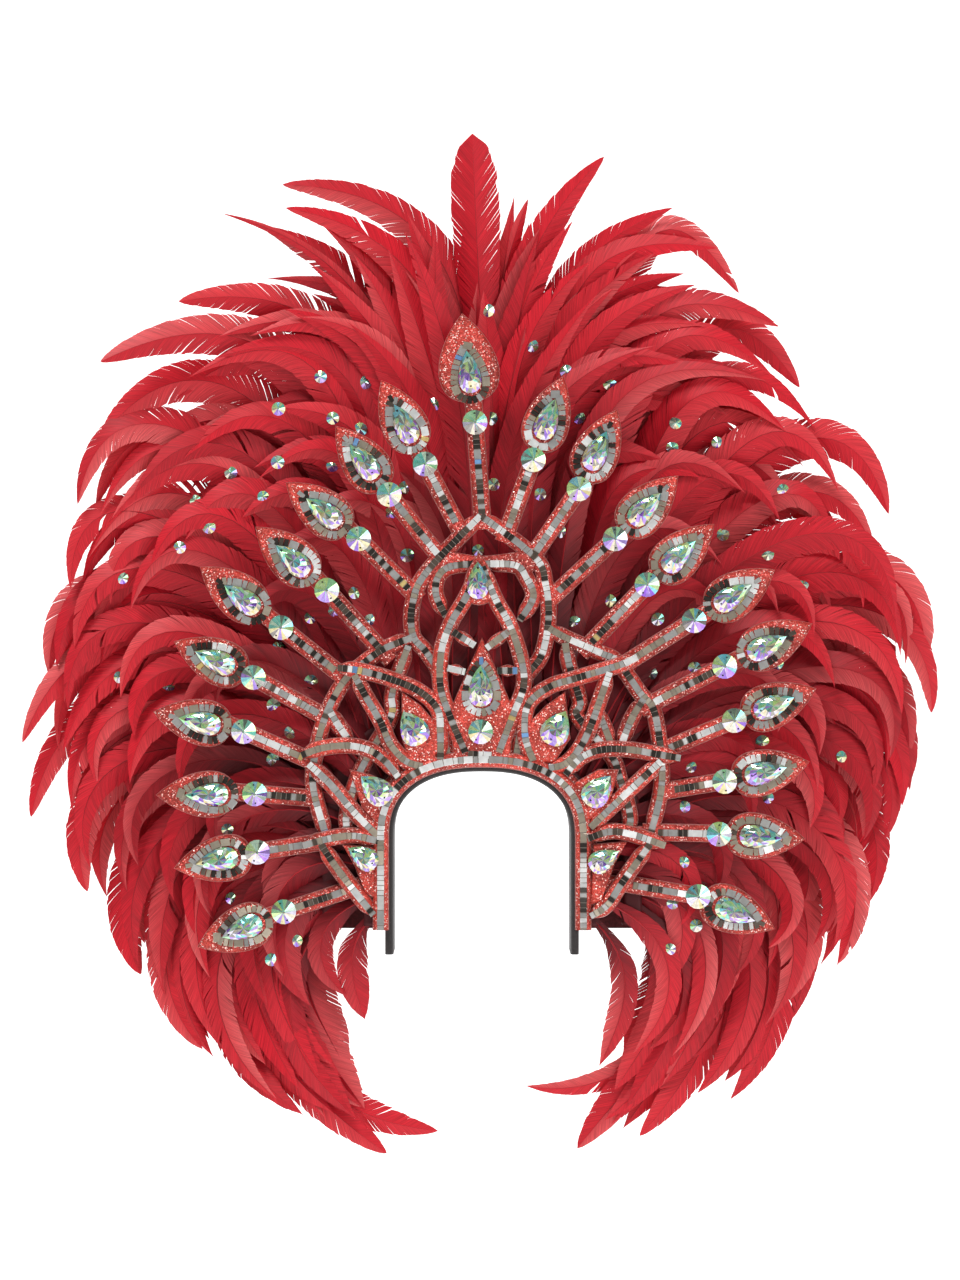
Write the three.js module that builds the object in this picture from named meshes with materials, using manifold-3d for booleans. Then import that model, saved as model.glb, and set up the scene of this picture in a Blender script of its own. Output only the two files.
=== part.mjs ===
// A carnival feather headdress: a padded arch for the head, two sheets of openwork glitter foam
// with mirror strips and crystals in front of it, and a fan of curved feathers behind them.
// Millimetres, +Z up. The wearer faces -Y. The origin is the inner apex of the padded arch.
import * as THREE from 'three';
import { mergeVertices } from 'three/addons/utils/BufferGeometryUtils.js';
import Module from 'manifold-3d';

const wasm = await Module();
wasm.setup();

// Driving dimensions of the head arch. Its outline is a superellipse over two straight legs.
const HEAD_HALF_WIDTH = 64;
const CROWN_HEIGHT = 48;
const ARCH_POWER = 2 / 2.4;
const LEG_PER_STATION = 100;
const ARCH_WALL = 6;
const ARCH_FRONT = -5;
const ARCH_REAR = 40;
const ARCH_END = 1.84;
const SEAT_GAP = 0.3;

// The two sheets of foam, front face towards -Y
const SHEET = 4;
const STRIP_RISE = 1;
const STRIP_WIDTH = 5;
const HALO_BACK = 0;
const LOTUS_BACK = HALO_BACK - SHEET - STRIP_RISE - SEAT_GAP;
const BAND_WIDTH = 12;
const RIM_END = 1.66;
const HALO_RIM_END = 1.5;
const SAMPLE_STEP = 26;
const STATION_STEP = 0.1;
const ROOT_STATION_STEP = 0.2;
const JOIN_TOLERANCE = 0.12;

// Stones and leaves
const LEAF = { length: 58, width: 33 };
const TOP_LEAF = { length: 65, width: 43 };
const TILE_BED = { length: 41, width: 22 };
const DROP = { length: 27, width: 13.5, height: 4.6 };
const ROUND_STONE = { radius: 9, height: 4.4 };
const TABLE_SCALE = 0.5;
const STEM_WIDTH = 13;
const STEM_ROOT = 11;
const STEM_NECK = 16;
const LEAF_SEAT = 0.52;

// Feathers: five rows from front to rear, on root strips that follow the arch
const ROW_PITCH = 5;
const ROW_SPREAD = 6;
const OPEN_FROM = 1.12;
const OPEN_OVER = 0.8;
const CROWDING = 0.4;
const CROWDED_TO = 0.82;
const ROW_FRONT = 0.3;
const INNER_ROOTS = 14.5;
const OUTER_ROOTS = 45;
const ROOT_STRIP = 14;
const ROOT_BITE = 3;
const LOCK_SPREAD = 1.3;
const STRIP_THICK = ROW_PITCH - SEAT_GAP;
const FEATHER_SINK = 1.2;
const VANE_FOLD = 1.6;
const THIN_FOLD = 0.6;
const SECTOR_GAP = 0.005;
const BACKING_THICK = 3;
const BACKING_REACH = 52;
const BACKING_END = 1.68;

// The fan's common surface: it sweeps back behind the plates and curls forward at the tips
const FAN = { centreZ: -30, side: 340, top: 490, low: 260, back: 20, curl: 20 };

// Rays of the rear sheet, from the lower left round to the lower right: the foot on the lattice,
// the round stone and the leaf's tip
const RAYS = [
  { foot: [-98, -86], stone: [-143, -101], tip: [-206, -127] },
  { foot: [-129, -53], stone: [-162, -58], tip: [-223, -70] },
  { foot: [-127, -19], stone: [-164, -16], tip: [-236, -17] },
  { foot: [-129, 10], stone: [-172, 29], tip: [-238, 43] },
  { foot: [-118, 42], stone: [-165, 68], tip: [-223, 94] },
  { foot: [-106, 73], stone: [-145, 104], tip: [-204, 148] },
  { foot: [-73, 88], stone: [-112, 131], tip: [-164, 177] },
  { foot: [-53, 132], stone: [-89, 168], tip: [-142, 209] },
  { foot: [-32, 157], stone: [-67, 200], tip: [-106, 250] },
  { foot: [-19, 180], stone: [-41, 222], tip: [-73, 283] },
  { foot: [0, 186], stone: [-5, 252], tip: [-14, 328], top: true },
  { foot: [19, 176], stone: [37, 225], tip: [59, 286] },
  { foot: [37, 156], stone: [70, 204], tip: [98, 262] },
  { foot: [55, 130], stone: [96, 168], tip: [142, 214] },
  { foot: [79, 93], stone: [119, 135], tip: [168, 179] },
  { foot: [110, 82], stone: [153, 109], tip: [212, 146] },
  { foot: [124, 50], stone: [175, 76], tip: [239, 107] },
  { foot: [135, 17], stone: [182, 37], tip: [242, 60] },
  { foot: [139, -13], stone: [175, -7], tip: [237, 7] },
  { foot: [127, -44], stone: [171, -45], tip: [234, -49] },
  { foot: [109, -82], stone: [156, -90], tip: [212, -114] },
];

// Bands of the rear lattice, each through its points
const HALO_BANDS = [
  { points: [[-24, 6], [-29, 40], [-31, 70], [-40, 86], [-50, 99], [-50, 122], [-40, 144], [-1, 185]] },
  { points: [[24, 6], [29, 40], [31, 66], [43, 84], [48, 110], [46, 135], [38, 155], [-1, 185]] },
  { points: [[-3, 150], [-23, 148], [-32, 140], [-33, 127], [-26, 112]] },
  { points: [[2, 150], [24, 149], [32, 140], [37, 126], [27, 109]] },
  { points: [[-33, 158], [-1, 152], [38, 157]], bare: true, width: 8 },
  { points: [[-50, 97], [-70, 89], [-86, 78], [-99, 66], [-111, 45], [-119, 19], [-122, -10], [-112, -48]] },
  { points: [[48, 104], [60, 97], [85, 86], [98, 79], [114, 57], [125, 41], [130, -6], [122, -44]] },
  { points: [[-53, 91], [-60, 72], [-65, 55], [-66, 39], [-84, 8], [-92, -10], [-98, -33], [-96, -48]] },
  { points: [[60, 93], [63, 77], [71, 50], [69, 40], [93, 12], [99, -3], [107, -32], [104, -46]] },
  { points: [[-111, 46], [-104, 34], [-94, 20]] },
  { points: [[117, 53], [108, 38], [100, 18]] },
  { points: [[80, 46], [86, 38], [94, 18]] },
  { points: [[-129, -53], [-110, -48], [-92, -46], [-74, -50]], bare: true },
  { points: [[127, -46], [108, -45], [92, -43], [74, -48]], bare: true },
  { points: [[-98, -86], [-76, -84]], bare: true },
  { points: [[109, -82], [76, -80]], bare: true },
];

// Bands of the front sheet: the centre petal, then the upper and lower edge of each side petal
const LOTUS_BANDS = [
  { points: [[-1, 148], [-12, 125], [-22, 108], [-29, 88], [-30, 62], [-23, 40], [-12, 14]] },
  { points: [[0, 148], [10, 124], [20, 106], [28, 82], [30, 62], [22, 40], [12, 14]] },
  { points: [[-104, 75], [-88, 73], [-66, 67], [-45, 58], [-32, 45], [-30, 28], [-30, 9]] },
  { points: [[112, 83], [99, 77], [66, 67], [48, 61], [33, 48], [31, 26], [37, 8]] },
  { points: [[-92, 70], [-84, 55], [-73, 36], [-66, 20], [-55, 8], [-43, 4]] },
  { points: [[92, 72], [85, 52], [79, 35], [71, 18], [60, 6], [48, 3]] },
  { points: [[-130, 12], [-116, 17], [-98, 19], [-82, 16], [-70, 8], [-60, -4]] },
  { points: [[143, 10], [125, 13], [107, 16], [86, 16], [71, 10], [60, -2]] },
  { points: [[-125, 6], [-109, -9], [-92, -29], [-75, -46]] },
  { points: [[129, 8], [114, -6], [98, -21], [78, -40]] },
  { points: [[-129, -53], [-110, -48], [-92, -46], [-74, -50]] },
  { points: [[132, -53], [108, -45], [92, -43], [76, -48]] },
  { points: [[-116, -52], [-106, -67], [-94, -83], [-78, -103]] },
  { points: [[121, -52], [110, -67], [100, -81], [90, -96], [78, -104]] },
];

// Solid webs of the front sheet where the petals close on the rim
const LOTUS_WEBS = [
  [[-24, 42], [-14, 66], [0, 97], [14, 66], [24, 42], [20, 6], [-20, 6]],
  [[-58, 58], [-44, 48], [-32, 34], [-32, 6], [-52, 6], [-58, 24]],
  [[60, 58], [46, 48], [32, 34], [36, 6], [52, 6], [64, 24]],
  [[-96, 2], [-80, -2], [-66, -8], [-72, -42], [-86, -28]],
  [[99, 2], [84, 2], [66, -8], [74, -38], [92, -24]],
  [[-101, -52], [-78, -54], [-76, -92], [-84, -88], [-92, -68]],
  [[105, -50], [80, -52], [78, -96], [86, -94], [96, -66]],
];

// The leaf at the point of the centre petal, under its crystal
const CREST = { at: [-2, 139], length: 38, width: 22 };

// Stones of the front sheet: middle, turn of the point from upright, clockwise, size, and whether
// the stone lies over a mirror strip
const CROWN_STONES = [
  { at: [-3, 138], turn: 0, length: 27, width: 14, overStrip: true },
  { at: [-1, 62], turn: 0, length: 30, width: 17 },
  { at: [-1, 29], round: true },
  { at: [-50, 32], turn: -30, length: 27, width: 20 },
  { at: [54, 32], turn: 28, length: 27, width: 20 },
  { at: [-77, -12], turn: -48, length: 27, width: 19, overStrip: true },
  { at: [84, -13], turn: 40, length: 27, width: 19 },
  { at: [-86, -61], turn: -58, length: 24, width: 16, overStrip: true },
  { at: [88, -63], turn: 60, length: 24, width: 16, overStrip: true },
];

// The fan at one side, by station along the arch: first heading, tip and last heading, in degrees
// clockwise from upright. The other side is its mirror image.
const FAN_LINES = [
  { station: 0.0, start: 0, tip: [0, 440], end: 0 },
  { station: 0.12, start: 2, tip: [70, 425], end: 30 },
  { station: 0.24, start: 3, tip: [135, 395], end: 65 },
  { station: 0.36, start: 4, tip: [190, 340], end: 105 },
  { station: 0.46, start: 6, tip: [235, 280], end: 135 },
  { station: 0.56, start: 12, tip: [285, 195], end: 155 },
  { station: 0.66, start: 24, tip: [315, 90], end: 176 },
  { station: 0.76, start: 38, tip: [320, 0], end: 186 },
  { station: 0.88, start: 48, tip: [300, -80], end: 196 },
  { station: 1.0, start: 58, tip: [262, -145], end: 208 },
  { station: 1.15, start: 72, tip: [215, -195], end: 214 },
  { station: 1.3, start: 88, tip: [165, -240], end: 220 },
  { station: 1.45, start: 104, tip: [115, -262], end: 224 },
  { station: 1.64, start: 120, tip: [80, -262], end: 220 },
];

// The bunches of every row, by station round the fan
const SECTORS = [
  { name: 'left_low', from: -1.64, to: -0.82 },
  { name: 'left_high', from: -0.82, to: -0.32 },
  { name: 'top', from: -0.32, to: 0.32 },
  { name: 'right_high', from: 0.32, to: 0.82 },
  { name: 'right_low', from: 0.82, to: 1.64 },
];

// Front rows: how far their feathers reach along the fan, their width, and how many each bunch has
const FRONT_ROWS = [
  { row: 1, reach: 0.42, width: 32, counts: [3, 3, 3, 3, 3] },
  { row: 2, reach: 0.64, width: 38, counts: [3, 4, 3, 4, 3] },
  { row: 3, reach: 0.84, width: 40, counts: [4, 4, 4, 4, 4] },
];

// Long feathers of the rear rows, in order round the fan: tip, last heading, width, and row 4 or 5
const LONG_FEATHERS = {
  left_low: [
    { tip: [-32, -262], end: 95, width: 22, row: 5 },
    { tip: [-88, -244], end: 122, width: 14, row: 4 },
    { tip: [-69, -277], end: 122, width: 25, row: 5 },
    { tip: [-162, -225], end: 145, width: 18, row: 4 },
    { tip: [-131, -249], end: 118, width: 24, row: 5 },
    { tip: [-205, -205], end: 135, width: 24, row: 4 },
    { tip: [-252, -152], end: 150, width: 26, row: 5 },
    { tip: [-290, -90], end: 160, width: 26, row: 4 },
  ],
  left_high: [
    { tip: [-331, -35], end: -170, width: 22, row: 5 },
    { tip: [-335, 20], end: -162, width: 20, row: 4 },
    { tip: [-318, 68], end: 178, width: 28, row: 5 },
    { tip: [-301, 132], end: 180, width: 24, row: 4 },
    { tip: [-284, 192], end: -165, width: 22, row: 5 },
    { tip: [-295, 194], end: -170, width: 26, row: 4 },
    { tip: [-283, 238], end: -145, width: 30, row: 5 },
    { tip: [-277, 297], end: -118, width: 30, row: 4 },
    { tip: [-222, 343], end: -102, width: 28, row: 5 },
  ],
  top: [
    { tip: [-189, 405], end: -78, width: 9, row: 4 },
    { tip: [-164, 399], end: -72, width: 30, row: 5 },
    { tip: [-143, 410], end: -82, width: 24, row: 4 },
    { tip: [-146, 428], end: -90, width: 26, row: 5 },
    { tip: [-7, 464], end: -2, width: 36, row: 4, paddle: true },
    { tip: [34, 420], end: 22, width: 18, row: 5 },
    { tip: [89, 447], end: 48, width: 26, row: 4 },
    { tip: [140, 412], end: 72, width: 27, row: 5 },
  ],
  right_high: [
    { tip: [172, 381], end: 102, width: 25, row: 4 },
    { tip: [189, 350], end: 148, width: 26, row: 5 },
    { tip: [217, 324], end: 118, width: 27, row: 4 },
    { tip: [234, 281], end: 148, width: 28, row: 5 },
    { tip: [297, 187], end: 165, width: 28, row: 4 },
    { tip: [325, 79], end: 182, width: 30, row: 5 },
    { tip: [328, 42], end: 182, width: 20, row: 4 },
    { tip: [314, 10], end: 185, width: 24, row: 5 },
    { tip: [296, -52], end: 200, width: 24, row: 4 },
  ],
  right_low: [
    { tip: [285, -100], end: 202, width: 26, row: 5 },
    { tip: [261, -144], end: 212, width: 27, row: 4 },
    { tip: [228, -186], end: 205, width: 22, row: 5 },
    { tip: [181, -240], end: 225, width: 26, row: 4 },
    { tip: [173, -212], end: 232, width: 14, row: 5 },
    { tip: [114, -264], end: 225, width: 25, row: 4 },
    { tip: [129, -214], end: 232, width: 16, row: 5 },
    { tip: [69, -273], end: 220, width: 25, row: 4 },
    { tip: [32, -230], end: 280, width: 14, row: 5 },
  ],
};

// Feather width as a share of its full width, at shares of its length
const FEATHER_PROFILE = { at: [0, 0.2, 0.42, 0.64, 0.84, 1], share: [0.2, 0.5, 0.96, 1, 0.76, 0] };
const PADDLE_PROFILE = {
  at: [0, 0.14, 0.3, 0.62, 0.82, 0.94, 1],
  share: [0.2, 0.4, 0.5, 0.6, 1, 0.85, 0.2],
};
const START_HANDLE = 0.42;
const END_HANDLE = 0.36;

function material(color, roughness, metalness) {
  return new THREE.MeshStandardMaterial({ color, roughness, metalness });
}

const PADDING = material(0x231616, 0.85, 0);
const GLITTER_REAR = material(0xa83a3c, 0.6, 0.1);
const GLITTER_FRONT = material(0xcd5046, 0.5, 0.15);
const CRYSTAL = material(0xd8e6dc, 0.08, 0.35);
const FELT = material(0x5a0f14, 0.95, 0);
const FEATHER = material(0xc81e28, 0.7, 0);

const smooth = (value) => {
  const t = Math.min(Math.max(value, 0), 1);
  return t * t * (3 - 2 * t);
};

// A point of the arch's outline moved outwards by offset. Station 0 is the apex, 1 and -1 are the temples.
function archPoint(offset, station) {
  const halfWidth = HEAD_HALF_WIDTH + offset;
  const height = CROWN_HEIGHT + offset;
  const side = Math.sign(station);
  const along = Math.abs(station);
  if (along > 1) {
    return new THREE.Vector2(side * halfWidth, -CROWN_HEIGHT - (along - 1) * LEG_PER_STATION);
  }
  const angle = (along * Math.PI) / 2;
  const x = side * halfWidth * Math.sin(angle) ** ARCH_POWER;
  return new THREE.Vector2(x, height * Math.cos(angle) ** ARCH_POWER - CROWN_HEIGHT);
}

// Stations from one end to the other by way of the even steps that every band of the arch shares.
// The straight legs beyond the temples need none.
function stationsBetween(from, to, step) {
  const first = Math.max(Math.ceil(from / step + 0.2), Math.round(-1 / step));
  const last = Math.min(Math.floor(to / step - 0.2), Math.round(1 / step));
  const between = Array.from({ length: last - first + 1 }, (_, i) => (first + i) * step);
  return [from, ...between, to];
}

// Stands a shape drawn in X and Z upright, from the plane y = back towards -Y
function extrudeSheet(outline, back, depth) {
  const shape = new THREE.Shape(outline);
  const geometry = new THREE.ExtrudeGeometry(shape, { depth, bevelEnabled: false, steps: 1 });
  geometry.rotateX(Math.PI / 2);
  geometry.translate(0, back, 0);
  return geometry;
}

// What is raised on a sheet starts inside it, so only its front shows
const raised = (back) => [back - SHEET / 2, SHEET / 2 + STRIP_RISE];

// A horseshoe between two offsets of the arch's outline
function archBand(inner, outer, from, to, back, depth, step = STATION_STEP) {
  const stations = stationsBetween(from, to, step);
  const outside = stations.map((station) => archPoint(outer, station));
  const inside = stations.map((station) => archPoint(inner, station)).reverse();
  return extrudeSheet([...outside, ...inside], back, depth);
}

// A band of even width along a smooth curve through the given points
function ribbon(points, width, back, depth) {
  const curve = new THREE.SplineCurve(points.map(([x, z]) => new THREE.Vector2(x, z)));
  const count = points.length === 2 ? 1 : Math.round(curve.getLength() / SAMPLE_STEP);
  const left = [];
  const right = [];
  for (let i = 0; i <= count; i += 1) {
    const middle = curve.getPointAt(i / count);
    const tangent = curve.getTangentAt(i / count);
    const across = new THREE.Vector2(-tangent.y, tangent.x).multiplyScalar(width / 2);
    left.push(middle.clone().add(across));
    right.push(middle.clone().sub(across));
  }
  return extrudeSheet([...left, ...right.reverse()], back, depth);
}

// The outline of a leaf or drop: round at its foot, pointed at its tip, turned clockwise from upright
function leafOutline(middle, turn, length, width, segments) {
  const shape = new THREE.Shape();
  shape.moveTo(0, -length / 2);
  shape.bezierCurveTo(width * 0.7, -length / 2, width * 0.68, length * 0.06, 0, length / 2);
  shape.bezierCurveTo(-width * 0.68, length * 0.06, -width * 0.7, -length / 2, 0, -length / 2);
  const points = shape.getPoints(segments).slice(0, -1);
  return points.map((point) => point.rotateAround(new THREE.Vector2(), -turn).add(middle));
}

// Closes a run of rings, each with the same number of points, into one solid with flat ends.
// Each side face is split along the diagonal that makes it bulge outwards, so thin twisted vanes stay solid.
function loft(rings) {
  const count = rings[0].length;
  const points = rings.flat();
  const positions = points.flatMap((point) => [point.x, point.y, point.z]);
  const index = [];
  for (let ring = 0; ring + 1 < rings.length; ring += 1) {
    for (let i = 0; i < count; i += 1) {
      const a = ring * count + i;
      const b = ring * count + ((i + 1) % count);
      const [c, d] = [b + count, a + count];
      const plane = new THREE.Plane().setFromCoplanarPoints(points[a], points[b], points[d]);
      if (plane.distanceToPoint(points[c]) <= 0) {
        index.push(a, b, d, b, c, d);
      } else {
        index.push(a, b, c, a, c, d);
      }
    }
  }
  const last = (rings.length - 1) * count;
  for (let i = 1; i + 1 < count; i += 1) {
    index.push(0, i + 1, i, last, last + i, last + i + 1);
  }
  const geometry = new THREE.BufferGeometry();
  geometry.setAttribute('position', new THREE.Float32BufferAttribute(positions, 3));
  geometry.setIndex(index);
  return geometry;
}

// A flat-backed cut stone: its outline at the back, a smaller table in front and a facet for each side
function cutStone(outline, middle, back, height) {
  const ring = (scale, y) => outline.map((point) => {
    const moved = point.clone().sub(middle).multiplyScalar(scale).add(middle);
    return new THREE.Vector3(moved.x, y, moved.y);
  });
  return loft([ring(1, back), ring(TABLE_SCALE, back - height)]);
}

function dropStone(middle, turn, length, width, back) {
  return cutStone(leafOutline(middle, turn, length, width, 4), middle, back, DROP.height);
}

function roundStone(middle, back) {
  const circle = new THREE.EllipseCurve(middle.x, middle.y, ROUND_STONE.radius, ROUND_STONE.radius);
  return cutStone(circle.getPoints(8).slice(0, -1), middle, back, ROUND_STONE.height);
}

function toSolid(geometry) {
  const bare = geometry.clone();
  bare.deleteAttribute('normal');
  bare.deleteAttribute('uv');
  const merged = mergeVertices(bare, 1e-4);
  const vertProperties = new Float32Array(merged.attributes.position.array);
  const triVerts = new Uint32Array(merged.index.array);
  return new wasm.Manifold(new wasm.Mesh({ numProp: 3, vertProperties, triVerts }));
}

function fuse(geometries) {
  const solid = geometries.map(toSolid).reduce((whole, next) => whole.add(next));
  const mesh = solid.asOriginal().simplify(JOIN_TOLERANCE).getMesh();
  const geometry = new THREE.BufferGeometry();
  geometry.setAttribute('position', new THREE.Float32BufferAttribute(mesh.vertProperties, 3));
  geometry.setIndex(new THREE.Uint32BufferAttribute(mesh.triVerts, 1));
  geometry.computeVertexNormals();
  return geometry;
}

const headdress = new THREE.Group();

function addPiece(name, geometry, finish) {
  const mesh = new THREE.Mesh(geometry, finish);
  mesh.name = name;
  headdress.add(mesh);
}

const vector = ([x, z]) => new THREE.Vector2(x, z);
const headingOf = (from, to) => Math.atan2(to.x - from.x, to.y - from.y);

function addHeadArch() {
  const arch = archBand(0, ARCH_WALL, -ARCH_END, ARCH_END, ARCH_REAR, ARCH_REAR - ARCH_FRONT);
  addPiece('head_arch', arch, PADDING);
}

// One ray: its stem, mirror strip, round stone, leaf and tile bed, all fused to the rear sheet
function rayGeometries(ray) {
  const foot = vector(ray.foot);
  const stone = vector(ray.stone);
  const tip = vector(ray.tip);
  const leaf = ray.top ? TOP_LEAF : LEAF;
  const heading = headingOf(stone, tip);
  const middle = tip.clone().lerp(stone, LEAF.length / 2 / tip.distanceTo(stone));
  const root = foot.clone().add(foot.clone().sub(stone).setLength(STEM_ROOT));
  const neck = stone.clone().add(stone.clone().sub(foot).setLength(STEM_NECK));
  const front = HALO_BACK - SHEET;
  return [
    ribbon([root.toArray(), neck.toArray()], STEM_WIDTH, HALO_BACK, SHEET),
    ribbon([foot.toArray(), stone.toArray()], STRIP_WIDTH, ...raised(HALO_BACK)),
    extrudeSheet(leafOutline(middle, heading, leaf.length, leaf.width, 4), HALO_BACK, SHEET),
    extrudeSheet(leafOutline(middle, heading, TILE_BED.length, TILE_BED.width, 3), ...raised(HALO_BACK)),
    roundStone(stone, front + SHEET / 2),
  ];
}

function bandGeometries(bands, back) {
  return bands.flatMap(({ points, width = BAND_WIDTH, bare = false }) => {
    const band = ribbon(points, width, back, SHEET);
    return bare ? [band] : [band, ribbon(points, STRIP_WIDTH, ...raised(back))];
  });
}

function addHaloPlate() {
  const rim = archBand(7, 19, -HALO_RIM_END, HALO_RIM_END, HALO_BACK, SHEET);
  const bands = bandGeometries(HALO_BANDS, HALO_BACK);
  addPiece('halo_plate', fuse([rim, ...bands, ...RAYS.flatMap(rayGeometries)]), GLITTER_REAR);
}

function addLotusPlate() {
  const rim = archBand(3, 15, -RIM_END, RIM_END, LOTUS_BACK, SHEET);
  const rimStrip = archBand(6.5, 11.5, -RIM_END, RIM_END, ...raised(LOTUS_BACK));
  const webs = LOTUS_WEBS.map((points) => extrudeSheet(points.map(vector), LOTUS_BACK, SHEET));
  const crestOutline = leafOutline(vector(CREST.at), 0, CREST.length, CREST.width, 4);
  const crest = extrudeSheet(crestOutline, LOTUS_BACK, SHEET);
  const bands = bandGeometries(LOTUS_BANDS, LOTUS_BACK);
  addPiece('lotus_plate', fuse([rim, rimStrip, ...bands, ...webs, crest]), GLITTER_FRONT);
}

function addStones() {
  const bed = HALO_BACK - SHEET - STRIP_RISE - SEAT_GAP;
  RAYS.forEach((ray, i) => {
    const stone = vector(ray.stone);
    const tip = vector(ray.tip);
    const middle = tip.clone().lerp(stone, LEAF_SEAT);
    const name = `ray_stone_${String(i + 1).padStart(2, '0')}`;
    addPiece(name, dropStone(middle, headingOf(stone, tip), DROP.length, DROP.width, bed), CRYSTAL);
  });
  CROWN_STONES.forEach((row, i) => {
    const pad = LOTUS_BACK - SHEET - (row.overStrip ? STRIP_RISE : 0) - SEAT_GAP;
    const middle = vector(row.at);
    const turn = THREE.MathUtils.degToRad(row.turn ?? 0);
    const stone = row.round ? roundStone(middle, pad) : dropStone(middle, turn, row.length, row.width, pad);
    addPiece(`crown_stone_${String(i + 1).padStart(2, '0')}`, stone, CRYSTAL);
  });
}

// How far outside the outer root strip a point lies: 0 on it, 1 well out in the open fan
function clearOfRoots(x, z) {
  const across = Math.abs(x) / (HEAD_HALF_WIDTH + OUTER_ROOTS);
  const above = Math.max(z + CROWN_HEIGHT, 0) / (CROWN_HEIGHT + OUTER_ROOTS);
  const power = 2 / ARCH_POWER;
  const distance = (across ** power + above ** power) ** (1 / power);
  return smooth((distance - OPEN_FROM) / OPEN_OVER);
}

// Depth of a feather row's surface at a point of the fan
function rowDepth(row, x, z) {
  const height = z - FAN.centreZ;
  const reach = Math.hypot(x / FAN.side, height / (height > 0 ? FAN.top : FAN.low));
  const open = clearOfRoots(x, z);
  const sweep = FAN.back * open * Math.sin(Math.PI * Math.min(reach, 1)) - FAN.curl * reach ** 6;
  return ROW_FRONT + (row - 1) * (ROW_PITCH + ROW_SPREAD * open) + FEATHER_SINK + sweep;
}

// Start heading, tip and last heading of the fan at a station, between the rows of its table
function fanLine(station) {
  const along = Math.abs(station);
  const side = Math.sign(station) || 1;
  const next = Math.max(1, FAN_LINES.findIndex((row) => row.station >= along));
  const a = FAN_LINES[next - 1];
  const b = FAN_LINES[next];
  const share = (along - a.station) / (b.station - a.station);
  const between = (first, second) => THREE.MathUtils.lerp(first, second, share);
  const tip = new THREE.Vector2(side * between(a.tip[0], b.tip[0]), between(a.tip[1], b.tip[1]));
  return { start: side * between(a.start, b.start), end: side * between(a.end, b.end), tip };
}

// A step of the given length at a heading in degrees clockwise from upright
function direction(heading, length) {
  const angle = THREE.MathUtils.degToRad(heading);
  return new THREE.Vector2(Math.sin(angle), Math.cos(angle)).multiplyScalar(length);
}

// One feather: a ridged vane along a curve from its root to its tip, on its row's surface
function featherGeometry({ row, root, start, tip, end, width, paddle = false }) {
  const reach = root.distanceTo(tip);
  const lift = root.clone().add(direction(start, reach * START_HANDLE));
  const fall = tip.clone().sub(direction(end, reach * END_HANDLE));
  const curve = new THREE.CubicBezierCurve(root, lift, fall, tip);
  const profile = paddle ? PADDLE_PROFILE : FEATHER_PROFILE;
  const rings = profile.at.map((t, i) => {
    const middle = curve.getPoint(t);
    const tangent = curve.getTangent(t);
    const half = Math.max(width * profile.share[i], 0.6) / 2;
    const across = new THREE.Vector2(-tangent.y, tangent.x).multiplyScalar(half);
    const left = middle.clone().add(across);
    const right = middle.clone().sub(across);
    const fold = Math.max(VANE_FOLD * profile.share[i], THIN_FOLD);
    const depth = rowDepth(row, middle.x, middle.y);
    return [
      new THREE.Vector3(middle.x, depth, middle.y),
      new THREE.Vector3(right.x, depth + fold, right.y),
      new THREE.Vector3(left.x, depth + fold, left.y),
    ];
  });
  return loft(rings);
}

// Where the root strip of a row runs, outside the arch's inner face
const rootOffset = (row) => (row === 1 ? INNER_ROOTS : OUTER_ROOTS);

// Station of the roots of a line of the fan. Roots crowd towards the crown of the arch, from where
// feathers rise, arch over and hang down at the sides.
const rootStation = (station) => station * (1 - CROWDING * (1 - smooth(Math.abs(station) / CROWDED_TO)));

// The feathers of one bunch of a front row, spread evenly over its stations
function frontBunch({ row, reach, width, counts }, sector, index) {
  const offset = rootOffset(row);
  return Array.from({ length: counts[index] }, (_, i) => {
    const station = sector.from + ((sector.to - sector.from) * (i + 0.5)) / counts[index];
    const line = fanLine(station);
    const root = archPoint(offset + ROOT_STRIP / 2 - ROOT_BITE, rootStation(station));
    const tip = root.clone().lerp(line.tip, reach);
    return featherGeometry({ row, root, start: line.start, tip, end: line.end, width });
  });
}

// The long feathers of one bunch, whose roots follow the order of their tips
function longBunch(row, sector) {
  const feathers = LONG_FEATHERS[sector.name];
  return feathers.flatMap((feather, i) => {
    if (feather.row !== row) {
      return [];
    }
    const station = sector.from + ((sector.to - sector.from) * (i + 0.5)) / feathers.length;
    const root = archPoint(rootOffset(row) + ROOT_STRIP / 2 - ROOT_BITE, rootStation(station));
    const width = feather.width * LOCK_SPREAD;
    const { start } = fanLine(station);
    return [featherGeometry({ ...feather, width, root, start, tip: vector(feather.tip) })];
  });
}

function addPlumes() {
  const rows = [...FRONT_ROWS, { row: 4 }, { row: 5 }];
  rows.forEach((settings) => {
    const { row } = settings;
    const offset = rootOffset(row);
    const rear = ROW_FRONT + (row - 1) * ROW_PITCH + STRIP_THICK;
    SECTORS.forEach((sector, index) => {
      const [inner, outer] = [offset - ROOT_STRIP / 2, offset + ROOT_STRIP / 2];
      const [from, to] = [rootStation(sector.from) + SECTOR_GAP, rootStation(sector.to) - SECTOR_GAP];
      const strip = archBand(inner, outer, from, to, rear, STRIP_THICK, ROOT_STATION_STEP);
      const feathers = settings.counts ? frontBunch(settings, sector, index) : longBunch(row, sector);
      addPiece(`plume_row_${row}_${sector.name}`, fuse([strip, ...feathers]), FEATHER);
    });
  });
}

function addBacking() {
  const front = ROW_FRONT + 5 * ROW_PITCH;
  const inner = ARCH_WALL + SEAT_GAP;
  const rear = front + BACKING_THICK;
  const board = archBand(inner, BACKING_REACH, -BACKING_END, BACKING_END, rear, BACKING_THICK);
  addPiece('backing', board, FELT);
}

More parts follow.
